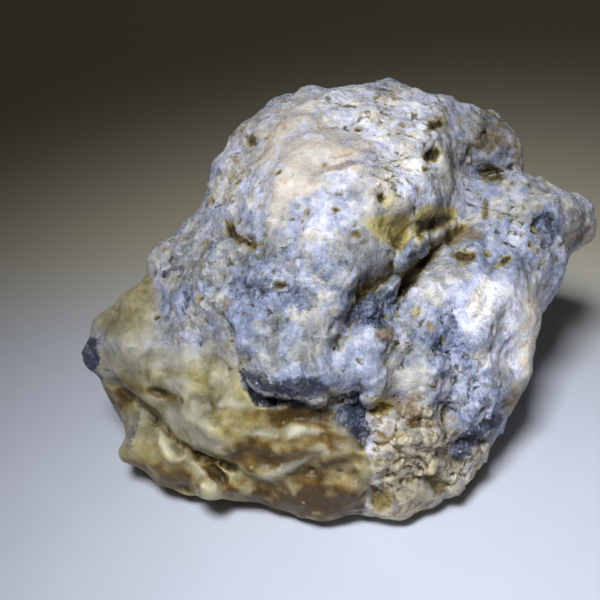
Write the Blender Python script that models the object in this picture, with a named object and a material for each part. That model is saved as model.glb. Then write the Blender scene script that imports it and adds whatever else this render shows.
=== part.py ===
"""A ventifact: one wind-worn lump of chalcedony with a quartz crust, resting on a small flat spot.

The stone is blocked out from overlapping convex masses, fused into one body and then carved with the
ledges, clefts, pits and lumps that give it its look. Its weathered face leans back from upright, so most
places are given on that face: across it, up it and out of it. Lengths are in millimetres until the mesh
is scaled to metres at the end.
"""

import math

import bmesh
import bpy
import numpy as np
from mathutils import Matrix, Vector, noise

MM = 0.001
FACE_LEAN = math.radians(32.0)  # the weathered face leans back this far from upright
FACE_MIDDLE = (-0.8, -3.15, 16.0)  # with this the stone's box stands centred over the origin
FUSE_VOXEL = 0.7
CARVE_VOXEL = 0.45
TRIANGLES = 9400
PLUMP = 0.4  # what fusing and smoothing take off the masses, put back
SMOOTHING_ROUNDS = 3  # rounds that soften the masses' edges as they fuse
FACING_GAIN = 4.0  # how quickly a stroke fades where the surface turns away from it
FACING_BASE = 0.6  # its strength where the surface is edge on
LEDGE_CURL = 1.3  # above 1, a ledge is steepest at its path
LUMP_FULLNESS = 0.8  # below 1, a lump is fuller than a paraboloid
WEATHERING = ((6.0, 1.0, 3.1), (3.0, 0.9, 8.7))  # wavelength, amount and seed of each roughening
FRACTURES = ((6.4, 0.2), (3.8, 0.1))  # spacing and height of each set of facets
BACK_FRACTURE = (13.0, 0.6)  # the bolder set, on the side turned away only
BACK_FROM = (-5.0, -10.0)  # how far behind the face that set begins and is full
FRACTURE_WAYS = 3  # directions each set is broken along
FRACTURE_SEED = 26
FRACTURE_BEND = 1.5  # how far noise bends the facets' edges
BEND_SEEDS = (1.7, 5.9, 9.2)
MEAN_ROUGHNESS = 0.45  # about the mean of the root of the noise, so that weathering keeps the size
SHARP_ANGLE = math.radians(35.0)
STONE_COLOUR = (0.48, 0.46, 0.4, 1.0)
STONE_ROUGHNESS = 0.5

# Convex masses that fuse into the stone: corner points as (across, up, out) on the weathered face.
MASSES = {
    "core": [
        (-8, -5.5, 12.5), (-3.5, -7, 14), (1.5, -6, 12.5), (-1, 5.5, 12.5), (-4.5, 11.5, 8.5), (6.5, 11, 7.5),
        (-11.5, 0, 7), (-6.5, 18.6, -4), (-3.5, 20.2, -5), (0.5, 21.2, -6), (3, 20.8, -6), (10.5, 20.6, -7),
        (12, 18.5, -7), (-9.1, 15.1, -3), (-11.4, 13, -3), (-11.8, 11, -3), (-12, 7.4, 0), (8.5, 4.5, 5),
        (-9, -18, 1.5), (-1, -19.5, 3), (8, -18.5, 2), (-8, 10.5, -15), (9, 10.5, -17), (9, -11, -15.5),
        (-8, -12, -12),
    ],
    "left_cheek": [
        (-15.2, 5.7, -1), (-16.6, 4.7, -1), (-16.9, 2.6, 0), (-16, -2, 4), (-10, 4, 7), (-9, -4, 9.5),
        (-14, -4, -8), (-12, 5, -10), (-15, 3, -7), (-12, 7.5, -2),
    ],
    "left_wing": [
        (-16.5, 1.5, 0), (-19.6, 0, 0), (-22.6, -2.2, -1), (-23, -4, -1), (-23.8, -5.6, -1), (-22.4, -7.3, 0),
        (-16.5, -9.5, 4), (-12, -8.5, 7), (-8.5, -6, 8), (-13, 0, 5), (-18, -4, 4.5), (-21, -4, -7),
        (-18, 0, -9), (-13.5, 0, -12), (-20, -7, -5),
    ],
    "neck": [
        (-21.8, -8.2, -1.5), (-20.9, -10, -1.5), (-19.6, -12, -1), (-15.5, -12, 2.5), (-15, -8.5, 3),
        (-10, -8, 6.5), (-10, -12, 6.5), (-18, -9, -8), (-12, -9, -11), (-16, -12, -8),
    ],
    "foot": [
        (-19.4, -11.6, 0), (-21.1, -13.3, 0), (-20.6, -14.6, 0.5), (-16.3, -15.7, 1), (-13, -16.5, 2),
        (-9.5, -18, 2), (-12, -12, 6), (-16.5, -11.5, 3.5), (-8, -14.5, 6), (-15, -15, 4),
        (-17.5, -14, -5.5), (-11.5, -14.4, -7.5), (-13, -16.4, -4),
    ],
    "skirt": [
        (-15.5, -8.5, 4), (-12, -10.5, 7.5), (-3.5, -11.5, 9.5), (1.5, -12.5, 9), (7.5, -11.5, 8),
        (-9, -17.5, 3.5), (-1, -19.5, 3.5), (8, -18.5, 3), (13, -15.8, 0), (-12, -13, -9),
        (9.5, -12.6, -9.5),
    ],
    "right_mass": [
        (3, -2.5, 8), (8, 1, 8.5), (14, 0, 5.5), (11.5, 5, 5), (5, -11, 8.5), (11, -10.5, 6.5),
        (19, 0, -1), (18.3, -3, 0), (17.5, -6.5, 0), (16, -9, 0), (13.4, -12.8, 0), (11.8, -16, 1),
        (9, -18, 2), (14, 9, -1), (18, 10.5, -5), (19, 5, -12), (14.5, -9.5, -12), (6.5, -14.2, -10.5),
        (6.5, 0, -12),
    ],
    "right_wing": [
        (16, 12.6, -4), (19.5, 11.3, -5), (22.8, 9.8, -6), (24.6, 8.8, -6), (24.9, 7.9, -6), (23.2, 6.3, -6),
        (20.8, 3.9, -4), (19.5, 0.3, -2), (17, 6.5, 1.5), (14.5, 2.5, 3), (20.5, 8, -1.5), (23, 8, -12),
        (19.5, 8.5, -14), (19.5, 2, -10),
    ],
    "knob": [
        (11, 18.6, -7), (13.6, 18, -7), (14.9, 17, -8), (16.7, 15.7, -9), (16.8, 15, -9),
        (15.9, 14.4, -8), (14.5, 14, -5), (10.5, 14, -1.5), (12.5, 16.5, -4), (15, 17, -14),
        (13, 15.3, -15), (15.9, 15, -14),
    ],
    "back_shoulder": [
        (9, 17, -9), (16, 14.6, -10), (17.2, 13.4, -9), (18, 11.5, -9), (16, 8, -3), (11, 8, -2),
        (11, 12, -4), (12, 14, -16), (18, 9.5, -15), (12, 4, -17),
    ],
}


def face_axes():
    """Rows are the face's across, up and out axes in the row frame."""
    s, c = math.sin(FACE_LEAN), math.cos(FACE_LEAN)
    return np.array([[1.0, 0.0, 0.0], [0.0, s, c], [0.0, -c, s]])


def to_row(points):
    """Places on the face, as (across, up, out), to the row frame."""
    return np.asarray(points, float) @ face_axes() + FACE_MIDDLE


def to_face(points):
    return (points - FACE_MIDDLE) @ face_axes().T


def hull_of(points):
    """A bmesh holding the convex hull of the points."""
    shape = bmesh.new()
    for point in points:
        shape.verts.new(point)
    made = bmesh.ops.convex_hull(shape, input=shape.verts)
    loose = [v for v in made["geom_interior"] if isinstance(v, bmesh.types.BMVert)]
    bmesh.ops.delete(shape, geom=loose, context="VERTS")
    return shape


def blocked_out():
    """Every mass in one mesh, still overlapping."""
    whole = bpy.data.meshes.new("masses")
    joined = bmesh.new()
    for points in MASSES.values():
        shape = hull_of(to_row(points))
        shape.to_mesh(whole)
        joined.from_mesh(whole)
        shape.free()
    joined.to_mesh(whole)
    joined.free()
    return whole


def evaluated(mesh, *modifiers):
    """A new mesh: this one with modifiers applied, each given as (type, settings)."""
    helper = bpy.data.objects.new("helper", mesh)
    bpy.context.scene.collection.objects.link(helper)
    for kind, settings in modifiers:
        modifier = helper.modifiers.new(kind.lower(), kind)
        for name, value in settings.items():
            setattr(modifier, name, value)
    graph = bpy.context.evaluated_depsgraph_get()
    made = bpy.data.meshes.new_from_object(helper.evaluated_get(graph))
    bpy.data.objects.remove(helper)
    return made


def fused(mesh, voxel, smoothing=0):
    """One closed skin round everything in the mesh, rebuilt from small cubes and then softened."""
    remesh = ("REMESH", {"mode": "VOXEL", "voxel_size": voxel})
    smooth = ("SMOOTH", {"factor": 0.5, "iterations": smoothing})
    return evaluated(mesh, remesh, *([smooth] if smoothing else []))


class Carving:
    """The fused stone's points, moved by strokes given on its weathered face or on its back."""

    def __init__(self, mesh):
        self.mesh = mesh
        self.read()

    def read(self):
        count = len(self.mesh.vertices)
        points = np.empty(count * 3)
        self.mesh.vertices.foreach_get("co", points)
        self.points = to_face(points.reshape(-1, 3))
        normals = np.empty(count * 3)
        self.mesh.vertices.foreach_get("normal", normals)
        self.normals = normals.reshape(-1, 3) @ face_axes().T

    def write(self):
        self.mesh.vertices.foreach_set("co", to_row(self.points).ravel())
        self.mesh.update()

    def refuse(self, voxel):
        """Evens out the mesh after strokes have stretched it."""
        self.write()
        self.mesh = fused(self.mesh, voxel)
        self.read()

    def press(self, amount, side):
        """Moves points straight into the face (side 1) or the back (side -1) by amount."""
        facing = np.clip(side * self.normals[:, 2] * FACING_GAIN + FACING_BASE, 0, 1)
        self.points[:, 2] -= side * amount * facing

    def from_path(self, path):
        """Each point's distance from a path across the face, negative to the path's left."""
        nearest = np.full(len(self.points), 1e9)
        sign = np.ones(len(self.points))
        places = self.points[:, :2]
        for start, end in zip(np.array(path[:-1], float), np.array(path[1:], float)):
            along = end - start
            share = np.clip((places - start) @ along / (along @ along), 0, 1)
            offset = places - start - share[:, None] * along
            distance = np.hypot(offset[:, 0], offset[:, 1])
            side = np.where(along[0] * offset[:, 1] - along[1] * offset[:, 0] > 0, -1, 1)
            closer = distance < nearest
            nearest[closer] = distance[closer]
            sign[closer] = side[closer]
        return nearest * sign

    def ledge(self, path, depth, reach, side=1):
        """A step along a path: the surface to its right drops sharply and rises again over reach."""
        away = self.from_path(path)
        share = np.clip(1 - away / reach, 0, 1)
        self.press(np.where(away > 0, depth * share**LEDGE_CURL, 0), side)

    def groove(self, path, depth, half_width, side=1):
        share = np.clip(1 - np.abs(self.from_path(path)) / half_width, 0, 1)
        self.press(depth * share, side)

    def oval(self, place, radii, turn):
        """1 at the middle of an oval on the face, down to 0 at its rim."""
        t = math.radians(turn)
        offset = self.points[:, :2] - place
        u = (offset[:, 0] * math.cos(t) + offset[:, 1] * math.sin(t)) / radii[0]
        v = (offset[:, 1] * math.cos(t) - offset[:, 0] * math.sin(t)) / radii[1]
        return np.clip(1 - u * u - v * v, 0, 1)

    def hollow(self, place, radii, depth, turn=0, side=1):
        self.press(depth * self.oval(place, radii, turn), side)

    def lump(self, place, radii, height, turn=0, side=1):
        self.press(-height * self.oval(place, radii, turn) ** LUMP_FULLNESS, side)

    def fracture(self, spacing, height, chance):
        """Breaks the whole stone into flat facets: folded waves crossing at chance directions."""
        bend = np.transpose([self.noise(spacing, seed) for seed in BEND_SEEDS])
        places = self.points + bend * FRACTURE_BEND
        rise = np.zeros(len(self.points))
        for _ in range(FRACTURE_WAYS):
            way = chance.normal(size=3)
            way /= np.linalg.norm(way)
            turns = places @ way / spacing + chance.random()
            rise += np.abs(4 * (turns % 1) - 2) - 1
        self.points += self.normals * (height * rise)[:, None]

    def noise(self, wavelength, seed):
        shift = Vector((seed, -seed, seed * 0.5))
        return np.array([noise.noise(Vector(p) / wavelength + shift) for p in self.points])

    def weather(self, wavelength, amount, seed):
        """Roughens the whole stone along its normals with rounded lumps and sharper dips between."""
        rough = self.noise(wavelength, seed)
        self.points += self.normals * ((np.sqrt(np.abs(rough)) - MEAN_ROUGHNESS) * amount)[:, None]


def carve_brow(stone):
    """The lip across the middle of the face, hollow below it, and the joint at its right end."""
    stone.ledge([(-8.7, -3.5), (-8.2, -6.5), (-6.8, -8.3), (-4, -7.8), (-1.5, -8.4), (0.4, -8.2)], 3.2, 3.6)
    stone.ledge([(1.6, -5.5), (1.7, -8), (2.1, -12.5)], 1.6, 2.4)
    stone.hollow((-3.6, -9.8), (4.2, 1.6), 1.2)


def carve_cleft(stone):
    """The crooked cleft that parts the right-hand mass from the face, and the pocket it opens into."""
    stone.ledge([(-0.6, -3.2), (0, -1.8), (1, 0), (2.5, 1.2), (4, 1.6)], 3.2, 3.4)
    stone.groove([(4.2, -1), (6, 2), (8, 4.4), (10.5, 6), (12, 6.8)], 3.4, 1.3)
    stone.groove([(4, 4.5), (4, 1.5)], 2.2, 0.7)
    stone.hollow((4.6, 5.6), (2.6, 1.7), 1.3, turn=-10)
    stone.hollow((8, 6.8), (2.2, 1.1), 2.4, turn=30)
    stone.hollow((10.5, 4.2), (1.4, 1), 1.8, turn=15)
    stone.lump((2.3, -1), (1.6, 2.2), 1.2, turn=-20)
    stone.lump((3.8, -3), (1.1, 0.8), 1.3)


def carve_crown(stone):
    """Broad worn swells on the crown, the pits by its right edge and the cavity under the knob."""
    stone.lump((-3, 12), (5, 3), 0.9, turn=20)
    stone.lump((4.5, 8.8), (3.4, 1.7), 0.8, turn=-15)
    stone.lump((0.5, 17), (4, 1.6), 0.6)
    stone.groove([(-8.6, 8), (-6.6, 11.5), (-4.8, 12.6)], 0.7, 1.3)
    stone.groove([(-1.4, 15.2), (2, 14.4), (4.2, 15)], 0.5, 1.3)
    stone.groove([(12, 17.5), (12.2, 14.5), (13, 12.6)], 1.3, 1.1)
    stone.groove([(12.6, 10.8), (12, 8.6)], 0.9, 1)
    stone.hollow((9, 16), (1.2, 0.9), 2)
    stone.hollow((8.2, 12.6), (1.3, 0.9), 2.4, turn=40)
    stone.hollow((3.6, 8.4), (0.8, 0.8), 1.6)
    stone.hollow((13.7, 12.4), (1.7, 1.2), 2.8, turn=15)
    stone.groove([(14, 6), (13.2, 3.5), (12.8, 1)], 1.1, 0.8)


def carve_left(stone):
    """The crevice and crusty lumps of the left flank, and the waxy folds of the left wing."""
    stone.ledge([(-9.6, 7.2), (-8.6, 5.2), (-6.8, 4.5)], 1.6, 2.4)
    stone.lump((-11, 12.2), (2.4, 2), 0.8)
    stone.lump((-15, 4), (2, 1.4), 0.8, turn=40)
    stone.lump((-12.5, 0), (2.2, 1.6), 0.7, turn=-20)
    stone.groove([(-17, 1.5), (-15.5, -1.5), (-15.5, -5)], 0.9, 1.2)
    stone.lump((-19.5, -4), (2.8, 2.2), 0.8, turn=-30)
    stone.ledge([(-14, -4.5), (-13.5, -7.2), (-10.8, -8)], 1.1, 2)
    stone.hollow((-15, -8), (1.6, 0.8), 1.1, turn=-25)
    stone.lump((-12, -9.6), (3.2, 1.3), 0.9, turn=-35)
    stone.ledge([(-22.5, -6.5), (-20, -7.6), (-17, -9.4), (-15, -10.4)], 1.8, 2)


def carve_skirt(stone):
    """The crack above the foot, its two tooth-like nodules, and the flowing layers of the skirt."""
    stone.ledge([(-17, -10.2), (-15, -11.5), (-13, -13), (-11.5, -14), (-9.5, -14.5), (-6, -16)], 2, 1.7)
    stone.lump((-15.3, -13.2), (0.9, 1.7), 1.5, turn=25)
    stone.lump((-12, -16.2), (1, 1.3), 1.8, turn=20)
    stone.hollow((-13.5, -15), (1, 0.8), 1, turn=0)
    stone.ledge([(-7.5, -12.2), (-5, -11.6), (-2.4, -12.1), (-0.5, -13.2)][::-1], 0.9, 1.6)
    stone.groove([(-9.5, -12.4), (-7.2, -13.6), (-4.5, -13.8), (-3, -14.8)], 0.9, 0.8)
    stone.groove([(-1.5, -15), (1.5, -14.4), (4, -15.4)], 0.8, 0.9)
    stone.groove([(-7, -16), (-5, -15.6), (-3.4, -16.6)], 0.7, 0.8)
    stone.hollow((-2.2, -13.4), (0.9, 0.5), 1, turn=20)
    stone.hollow((1, -12.6), (0.8, 0.5), 0.9, turn=-30)
    stone.lump((-5.6, -14.9), (1.6, 0.8), 0.6, turn=15)
    stone.lump((0.6, -16.2), (2.2, 0.9), 0.5, turn=-8)


def carve_right(stone):
    """Ledges, ochre-lined pits and rounded lumps of the right-hand mass, and its wing."""
    stone.hollow((4.5, -8.3), (1.3, 0.9), 2)
    stone.ledge([(4, -9.2), (7, -9.3), (9.8, -8.2)], 1.1, 1.6)
    stone.ledge([(9.8, -9.5), (9.5, -12), (8, -14.2)], 1.8, 3)
    stone.lump((7.7, -13.8), (1.5, 1.1), 0.9, turn=-10)
    stone.lump((5, -11.5), (1.6, 1.2), 0.8)
    stone.lump((6.2, -7), (2, 1.1), 0.7)
    stone.lump((11.5, -2.5), (2.6, 2), 0.8, turn=30)
    stone.lump((13, -7), (2, 1.5), 0.7)
    stone.lump((15.5, 1), (2.2, 2.6), 0.8, turn=-20)
    stone.groove([(9.5, -1), (9.8, -5), (12, -9)], 0.8, 1.2)
    stone.hollow((15.5, 3.6), (1, 0.6), 1)
    stone.lump((18, 8.5), (2.4, 1.6), 0.9, turn=-25)
    stone.hollow((20.5, 6), (1.6, 1.2), 0.9)
    stone.lump((22.5, 7.5), (1.6, 1.4), 0.6)


def carve_back(stone):
    """Broken ledges, a cross crack and hollows on the side turned away."""
    stone.ledge([(-12, 8), (-4, 5), (4, 7), (14, 3)][::-1], 2, 4, side=-1)
    stone.ledge([(6, 18), (3, 10), (5, 2)], 1.6, 3.2, side=-1)
    stone.groove([(-14, -2), (-5, -3.5), (6, -1), (15, -4)], 1.4, 1.3, side=-1)
    stone.hollow((-5, 0.5), (2.6, 1.6), 1.6, turn=15, side=-1)
    stone.hollow((9, -6), (2, 1.4), 1.4, turn=-20, side=-1)
    stone.hollow((2, 13), (1.6, 1.1), 1.3, side=-1)
    stone.lump((-7, 10), (3.5, 2.4), 1, turn=30, side=-1)
    stone.lump((12, 8), (3, 2.2), 1, turn=-25, side=-1)


def one_body(shape):
    """Drops any crumb the carving has cut off from the stone."""
    waiting = set(shape.verts)
    bodies = []
    while waiting:
        body = {waiting.pop()}
        edge = list(body)
        while edge:
            joined = {e.other_vert(v) for v in edge for e in v.link_edges} - body
            body |= joined
            edge = list(joined)
        waiting -= body
        bodies.append(body)
    bodies.sort(key=len)
    crumbs = [vert for body in bodies[:-1] for vert in body]
    bmesh.ops.delete(shape, geom=crumbs, context="VERTS")


def trimmed(mesh):
    """The mesh thinned to the wanted triangles and cut level, which leaves its flat resting spot."""
    share = TRIANGLES / sum(len(face.vertices) - 2 for face in mesh.polygons)
    mesh = evaluated(mesh, ("DECIMATE", {"ratio": share}))
    shape = bmesh.new()
    shape.from_mesh(mesh)
    everything = shape.verts[:] + shape.edges[:] + shape.faces[:]
    bmesh.ops.bisect_plane(
        shape, geom=everything, plane_co=(0, 0, 0), plane_no=(0, 0, 1), clear_inner=True
    )
    one_body(shape)
    bmesh.ops.holes_fill(shape, edges=[edge for edge in shape.edges if edge.is_boundary])
    bmesh.ops.triangulate(shape, faces=shape.faces[:])
    shape.to_mesh(mesh)
    shape.free()
    return mesh


def weathered_chalcedony():
    material = bpy.data.materials.new("weathered_chalcedony")
    material.use_nodes = True
    shader = material.node_tree.nodes["Principled BSDF"]
    shader.inputs["Base Color"].default_value = STONE_COLOUR
    shader.inputs["Roughness"].default_value = STONE_ROUGHNESS
    return material


def main():
    for obj in list(bpy.data.objects):
        bpy.data.objects.remove(obj)
    stone = Carving(fused(blocked_out(), FUSE_VOXEL, SMOOTHING_ROUNDS))
    stone.points += stone.normals * PLUMP
    stone.refuse(CARVE_VOXEL)
    carve_crown(stone)
    carve_left(stone)
    carve_right(stone)
    carve_skirt(stone)
    carve_brow(stone)
    carve_cleft(stone)
    carve_back(stone)
    stone.refuse(CARVE_VOXEL)
    chance = np.random.default_rng(FRACTURE_SEED)
    start, full = BACK_FROM
    behind = np.clip((stone.points[:, 2] - start) / (full - start), 0, 1)
    stone.fracture(BACK_FRACTURE[0], BACK_FRACTURE[1] * behind, chance)
    for spacing, height in FRACTURES:
        stone.fracture(spacing, height, chance)
    stone.refuse(CARVE_VOXEL)
    for wavelength, amount, seed in WEATHERING:
        stone.weather(wavelength, amount, seed)
    stone.refuse(CARVE_VOXEL)
    mesh = trimmed(stone.mesh)
    mesh.transform(Matrix.Scale(MM, 4))
    mesh.shade_smooth()
    mesh.set_sharp_from_angle(angle=SHARP_ANGLE)
    mesh.materials.append(weathered_chalcedony())
    bpy.context.scene.collection.objects.link(bpy.data.objects.new("stone", mesh))


main()
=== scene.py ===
"""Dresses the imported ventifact: a fine, weathered skin in place of its plain solid, on a pale floor.

The skin starts as a copy of the solid's mesh. It is made finer, carved with the pits, cracks, ledges and
grains that are too small for the solid, and given masks that steer one procedural stone material.
Places on the stone are pixels of the 600 x 600 view, and they land on whatever part of the skin the
camera sees there. Lengths are in millimetres until the mesh is scaled back to metres.
"""

import math

import bmesh
import bpy
import numpy as np
from mathutils import Matrix, Vector
from mathutils.bvhtree import BVHTree


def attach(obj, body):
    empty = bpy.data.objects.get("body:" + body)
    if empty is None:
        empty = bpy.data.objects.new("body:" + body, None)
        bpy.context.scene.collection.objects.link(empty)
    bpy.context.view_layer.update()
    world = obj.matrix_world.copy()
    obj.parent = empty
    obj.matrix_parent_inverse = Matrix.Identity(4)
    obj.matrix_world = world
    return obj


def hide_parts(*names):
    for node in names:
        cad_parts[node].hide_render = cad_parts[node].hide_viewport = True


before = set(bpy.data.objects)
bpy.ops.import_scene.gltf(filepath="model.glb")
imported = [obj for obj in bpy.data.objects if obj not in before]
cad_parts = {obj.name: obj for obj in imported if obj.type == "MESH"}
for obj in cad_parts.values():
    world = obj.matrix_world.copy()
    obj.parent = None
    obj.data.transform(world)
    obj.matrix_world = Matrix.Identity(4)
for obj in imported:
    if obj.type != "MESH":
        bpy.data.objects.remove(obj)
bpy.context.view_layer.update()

MM = 0.001

# The camera, which also turns pixels into places on the stone.
VIEW_SIDE = 600
VIEW_FIELD = math.radians(30.0)
VIEW_LEAN = math.radians(32.0)
VIEW_DISTANCE = 101.8
VIEW_AIM = np.array((-4.3, -3.15, 16.0))
TOWARD = np.array((0.0, -math.cos(VIEW_LEAN), math.sin(VIEW_LEAN)))
SCREEN_UP = np.array((0.0, math.sin(VIEW_LEAN), math.cos(VIEW_LEAN)))
EYE = VIEW_AIM + TOWARD * VIEW_DISTANCE
FOCAL = VIEW_SIDE / 2 / math.tan(VIEW_FIELD / 2)

# The skin's mesh.
FIRST_VOXEL = 0.3
FINE_VOXEL = 0.21
FIRST_SOFTENING = 4
FINE_SOFTENING = 2
MOST_TRIANGLES = 196_000

# How far places wander from their pixels, and how ragged spots' rims are: height, wavelength, salt.
PIXEL_WANDER = ((3.0, 2.2, 0), (2.0, 0.8, 5))
RAGGED_RIM = ((1.1, 0.9, 3), (0.7, 2.0, 4))
# How far short of a point a line of sight may end, and how much a seen surface has to face the camera.
SIGHT_SLACK = 0.6
FACING = (-0.15, 0.25)


# ---------------------------------------------------------------- noise


HASH_PRIMES = (73856093, 19349663, 83492791)
HASH_STEP = 2654435761
HASH_MIXER = np.uint64(0x9E3779B97F4A7C15)
HASH_SHIFTS = (13, 17, 11)
# Keeps the numbers of all cells positive.
CELL_OFFSET = 500.0


def hashed(cells, salt):
    """Three pseudo-random numbers in 0..1 for each whole-numbered cell."""
    x, y, z = (cells[:, k].astype(np.uint64) * np.uint64(HASH_PRIMES[k]) for k in range(3))
    mixed = (x ^ y ^ z) + np.uint64(salt * HASH_STEP % 2**32)
    made = []
    for shift in HASH_SHIFTS:
        mixed = (mixed ^ (mixed >> np.uint64(shift))) * HASH_MIXER
        made.append((mixed >> np.uint64(40)).astype(float) / 2**24)
    return np.stack(made, axis=1)


def gradient_noise(points, wavelength, salt):
    """Smooth noise, about -0.7 to 0.7."""
    places = points / wavelength + CELL_OFFSET
    base = np.floor(places)
    part = places - base
    ease = part**3 * (part * (part * 6 - 15) + 10)
    total = np.zeros(len(points))
    for corner in np.ndindex(2, 2, 2):
        corner = np.array(corner)
        slope = hashed(base + corner, salt) * 2 - 1
        weight = np.prod(np.where(corner, ease, 1 - ease), axis=1)
        total += weight * np.sum(slope * (part - corner), axis=1)
    return total


def layered_noise(points, wavelength, salt, layers):
    """Noise with ever finer and fainter layers."""
    total = np.zeros(len(points))
    for layer in range(layers):
        total += 0.5**layer * gradient_noise(points, wavelength / 2**layer, salt + layer)
    return total


def summed_noise(points, waves, salt=0):
    """A sum of noises, each with its height, wavelength and salt."""
    return sum(height * gradient_noise(points, length, salt + own) for height, length, own in waves)


def cells(points, size, salt):
    """Each point's nearest scattered seed: its distance, the way from it and its three random numbers."""
    places = points / size + CELL_OFFSET
    base = np.floor(places)
    nearest = np.full(len(points), np.inf)
    offset = np.zeros((len(points), 3))
    numbers = np.zeros((len(points), 3))
    for step in np.ndindex(3, 3, 3):
        cell = base + np.array(step) - 1
        way = places - cell - hashed(cell, salt)
        distance = np.linalg.norm(way, axis=1)
        nearer = distance < nearest
        nearest[nearer] = distance[nearer]
        offset[nearer] = way[nearer]
        numbers[nearer] = hashed(cell[nearer], salt + 1)
    return nearest, offset, numbers


def smoothstep(low, high, values):
    """0 up to low, 1 from high on, and eased between them."""
    share = np.clip((values - low) / (high - low), 0, 1)
    return share * share * (3 - 2 * share)


# ---------------------------------------------------------------- the skin


def evaluated(mesh, kind, **settings):
    """A new mesh: this one with a modifier applied."""
    helper = bpy.data.objects.new("helper", mesh)
    bpy.context.scene.collection.objects.link(helper)
    modifier = helper.modifiers.new(kind.lower(), kind)
    for name, value in settings.items():
        setattr(modifier, name, value)
    graph = bpy.context.evaluated_depsgraph_get()
    made = bpy.data.meshes.new_from_object(helper.evaluated_get(graph))
    bpy.data.objects.remove(helper)
    return made


def main_surface(mesh):
    """Drops the loose crumbs that a voxel remesh can leave inside narrow cracks."""
    edges = np.empty(len(mesh.edges) * 2, np.int64)
    mesh.edges.foreach_get("vertices", edges)
    first, second = edges.reshape(-1, 2).T
    labels = np.arange(len(mesh.vertices))
    while True:
        lowest = labels.copy()
        np.minimum.at(lowest, first, labels[second])
        np.minimum.at(lowest, second, labels[first])
        lowest = np.minimum(lowest, lowest[lowest])
        if np.array_equal(lowest, labels):
            break
        labels = lowest
    main = np.bincount(labels).argmax()
    shape = bmesh.new()
    shape.from_mesh(mesh)
    crumbs = [vertex for vertex, label in zip(shape.verts, labels) if label != main]
    bmesh.ops.delete(shape, geom=crumbs, context="VERTS")
    shape.to_mesh(mesh)
    shape.free()


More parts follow.
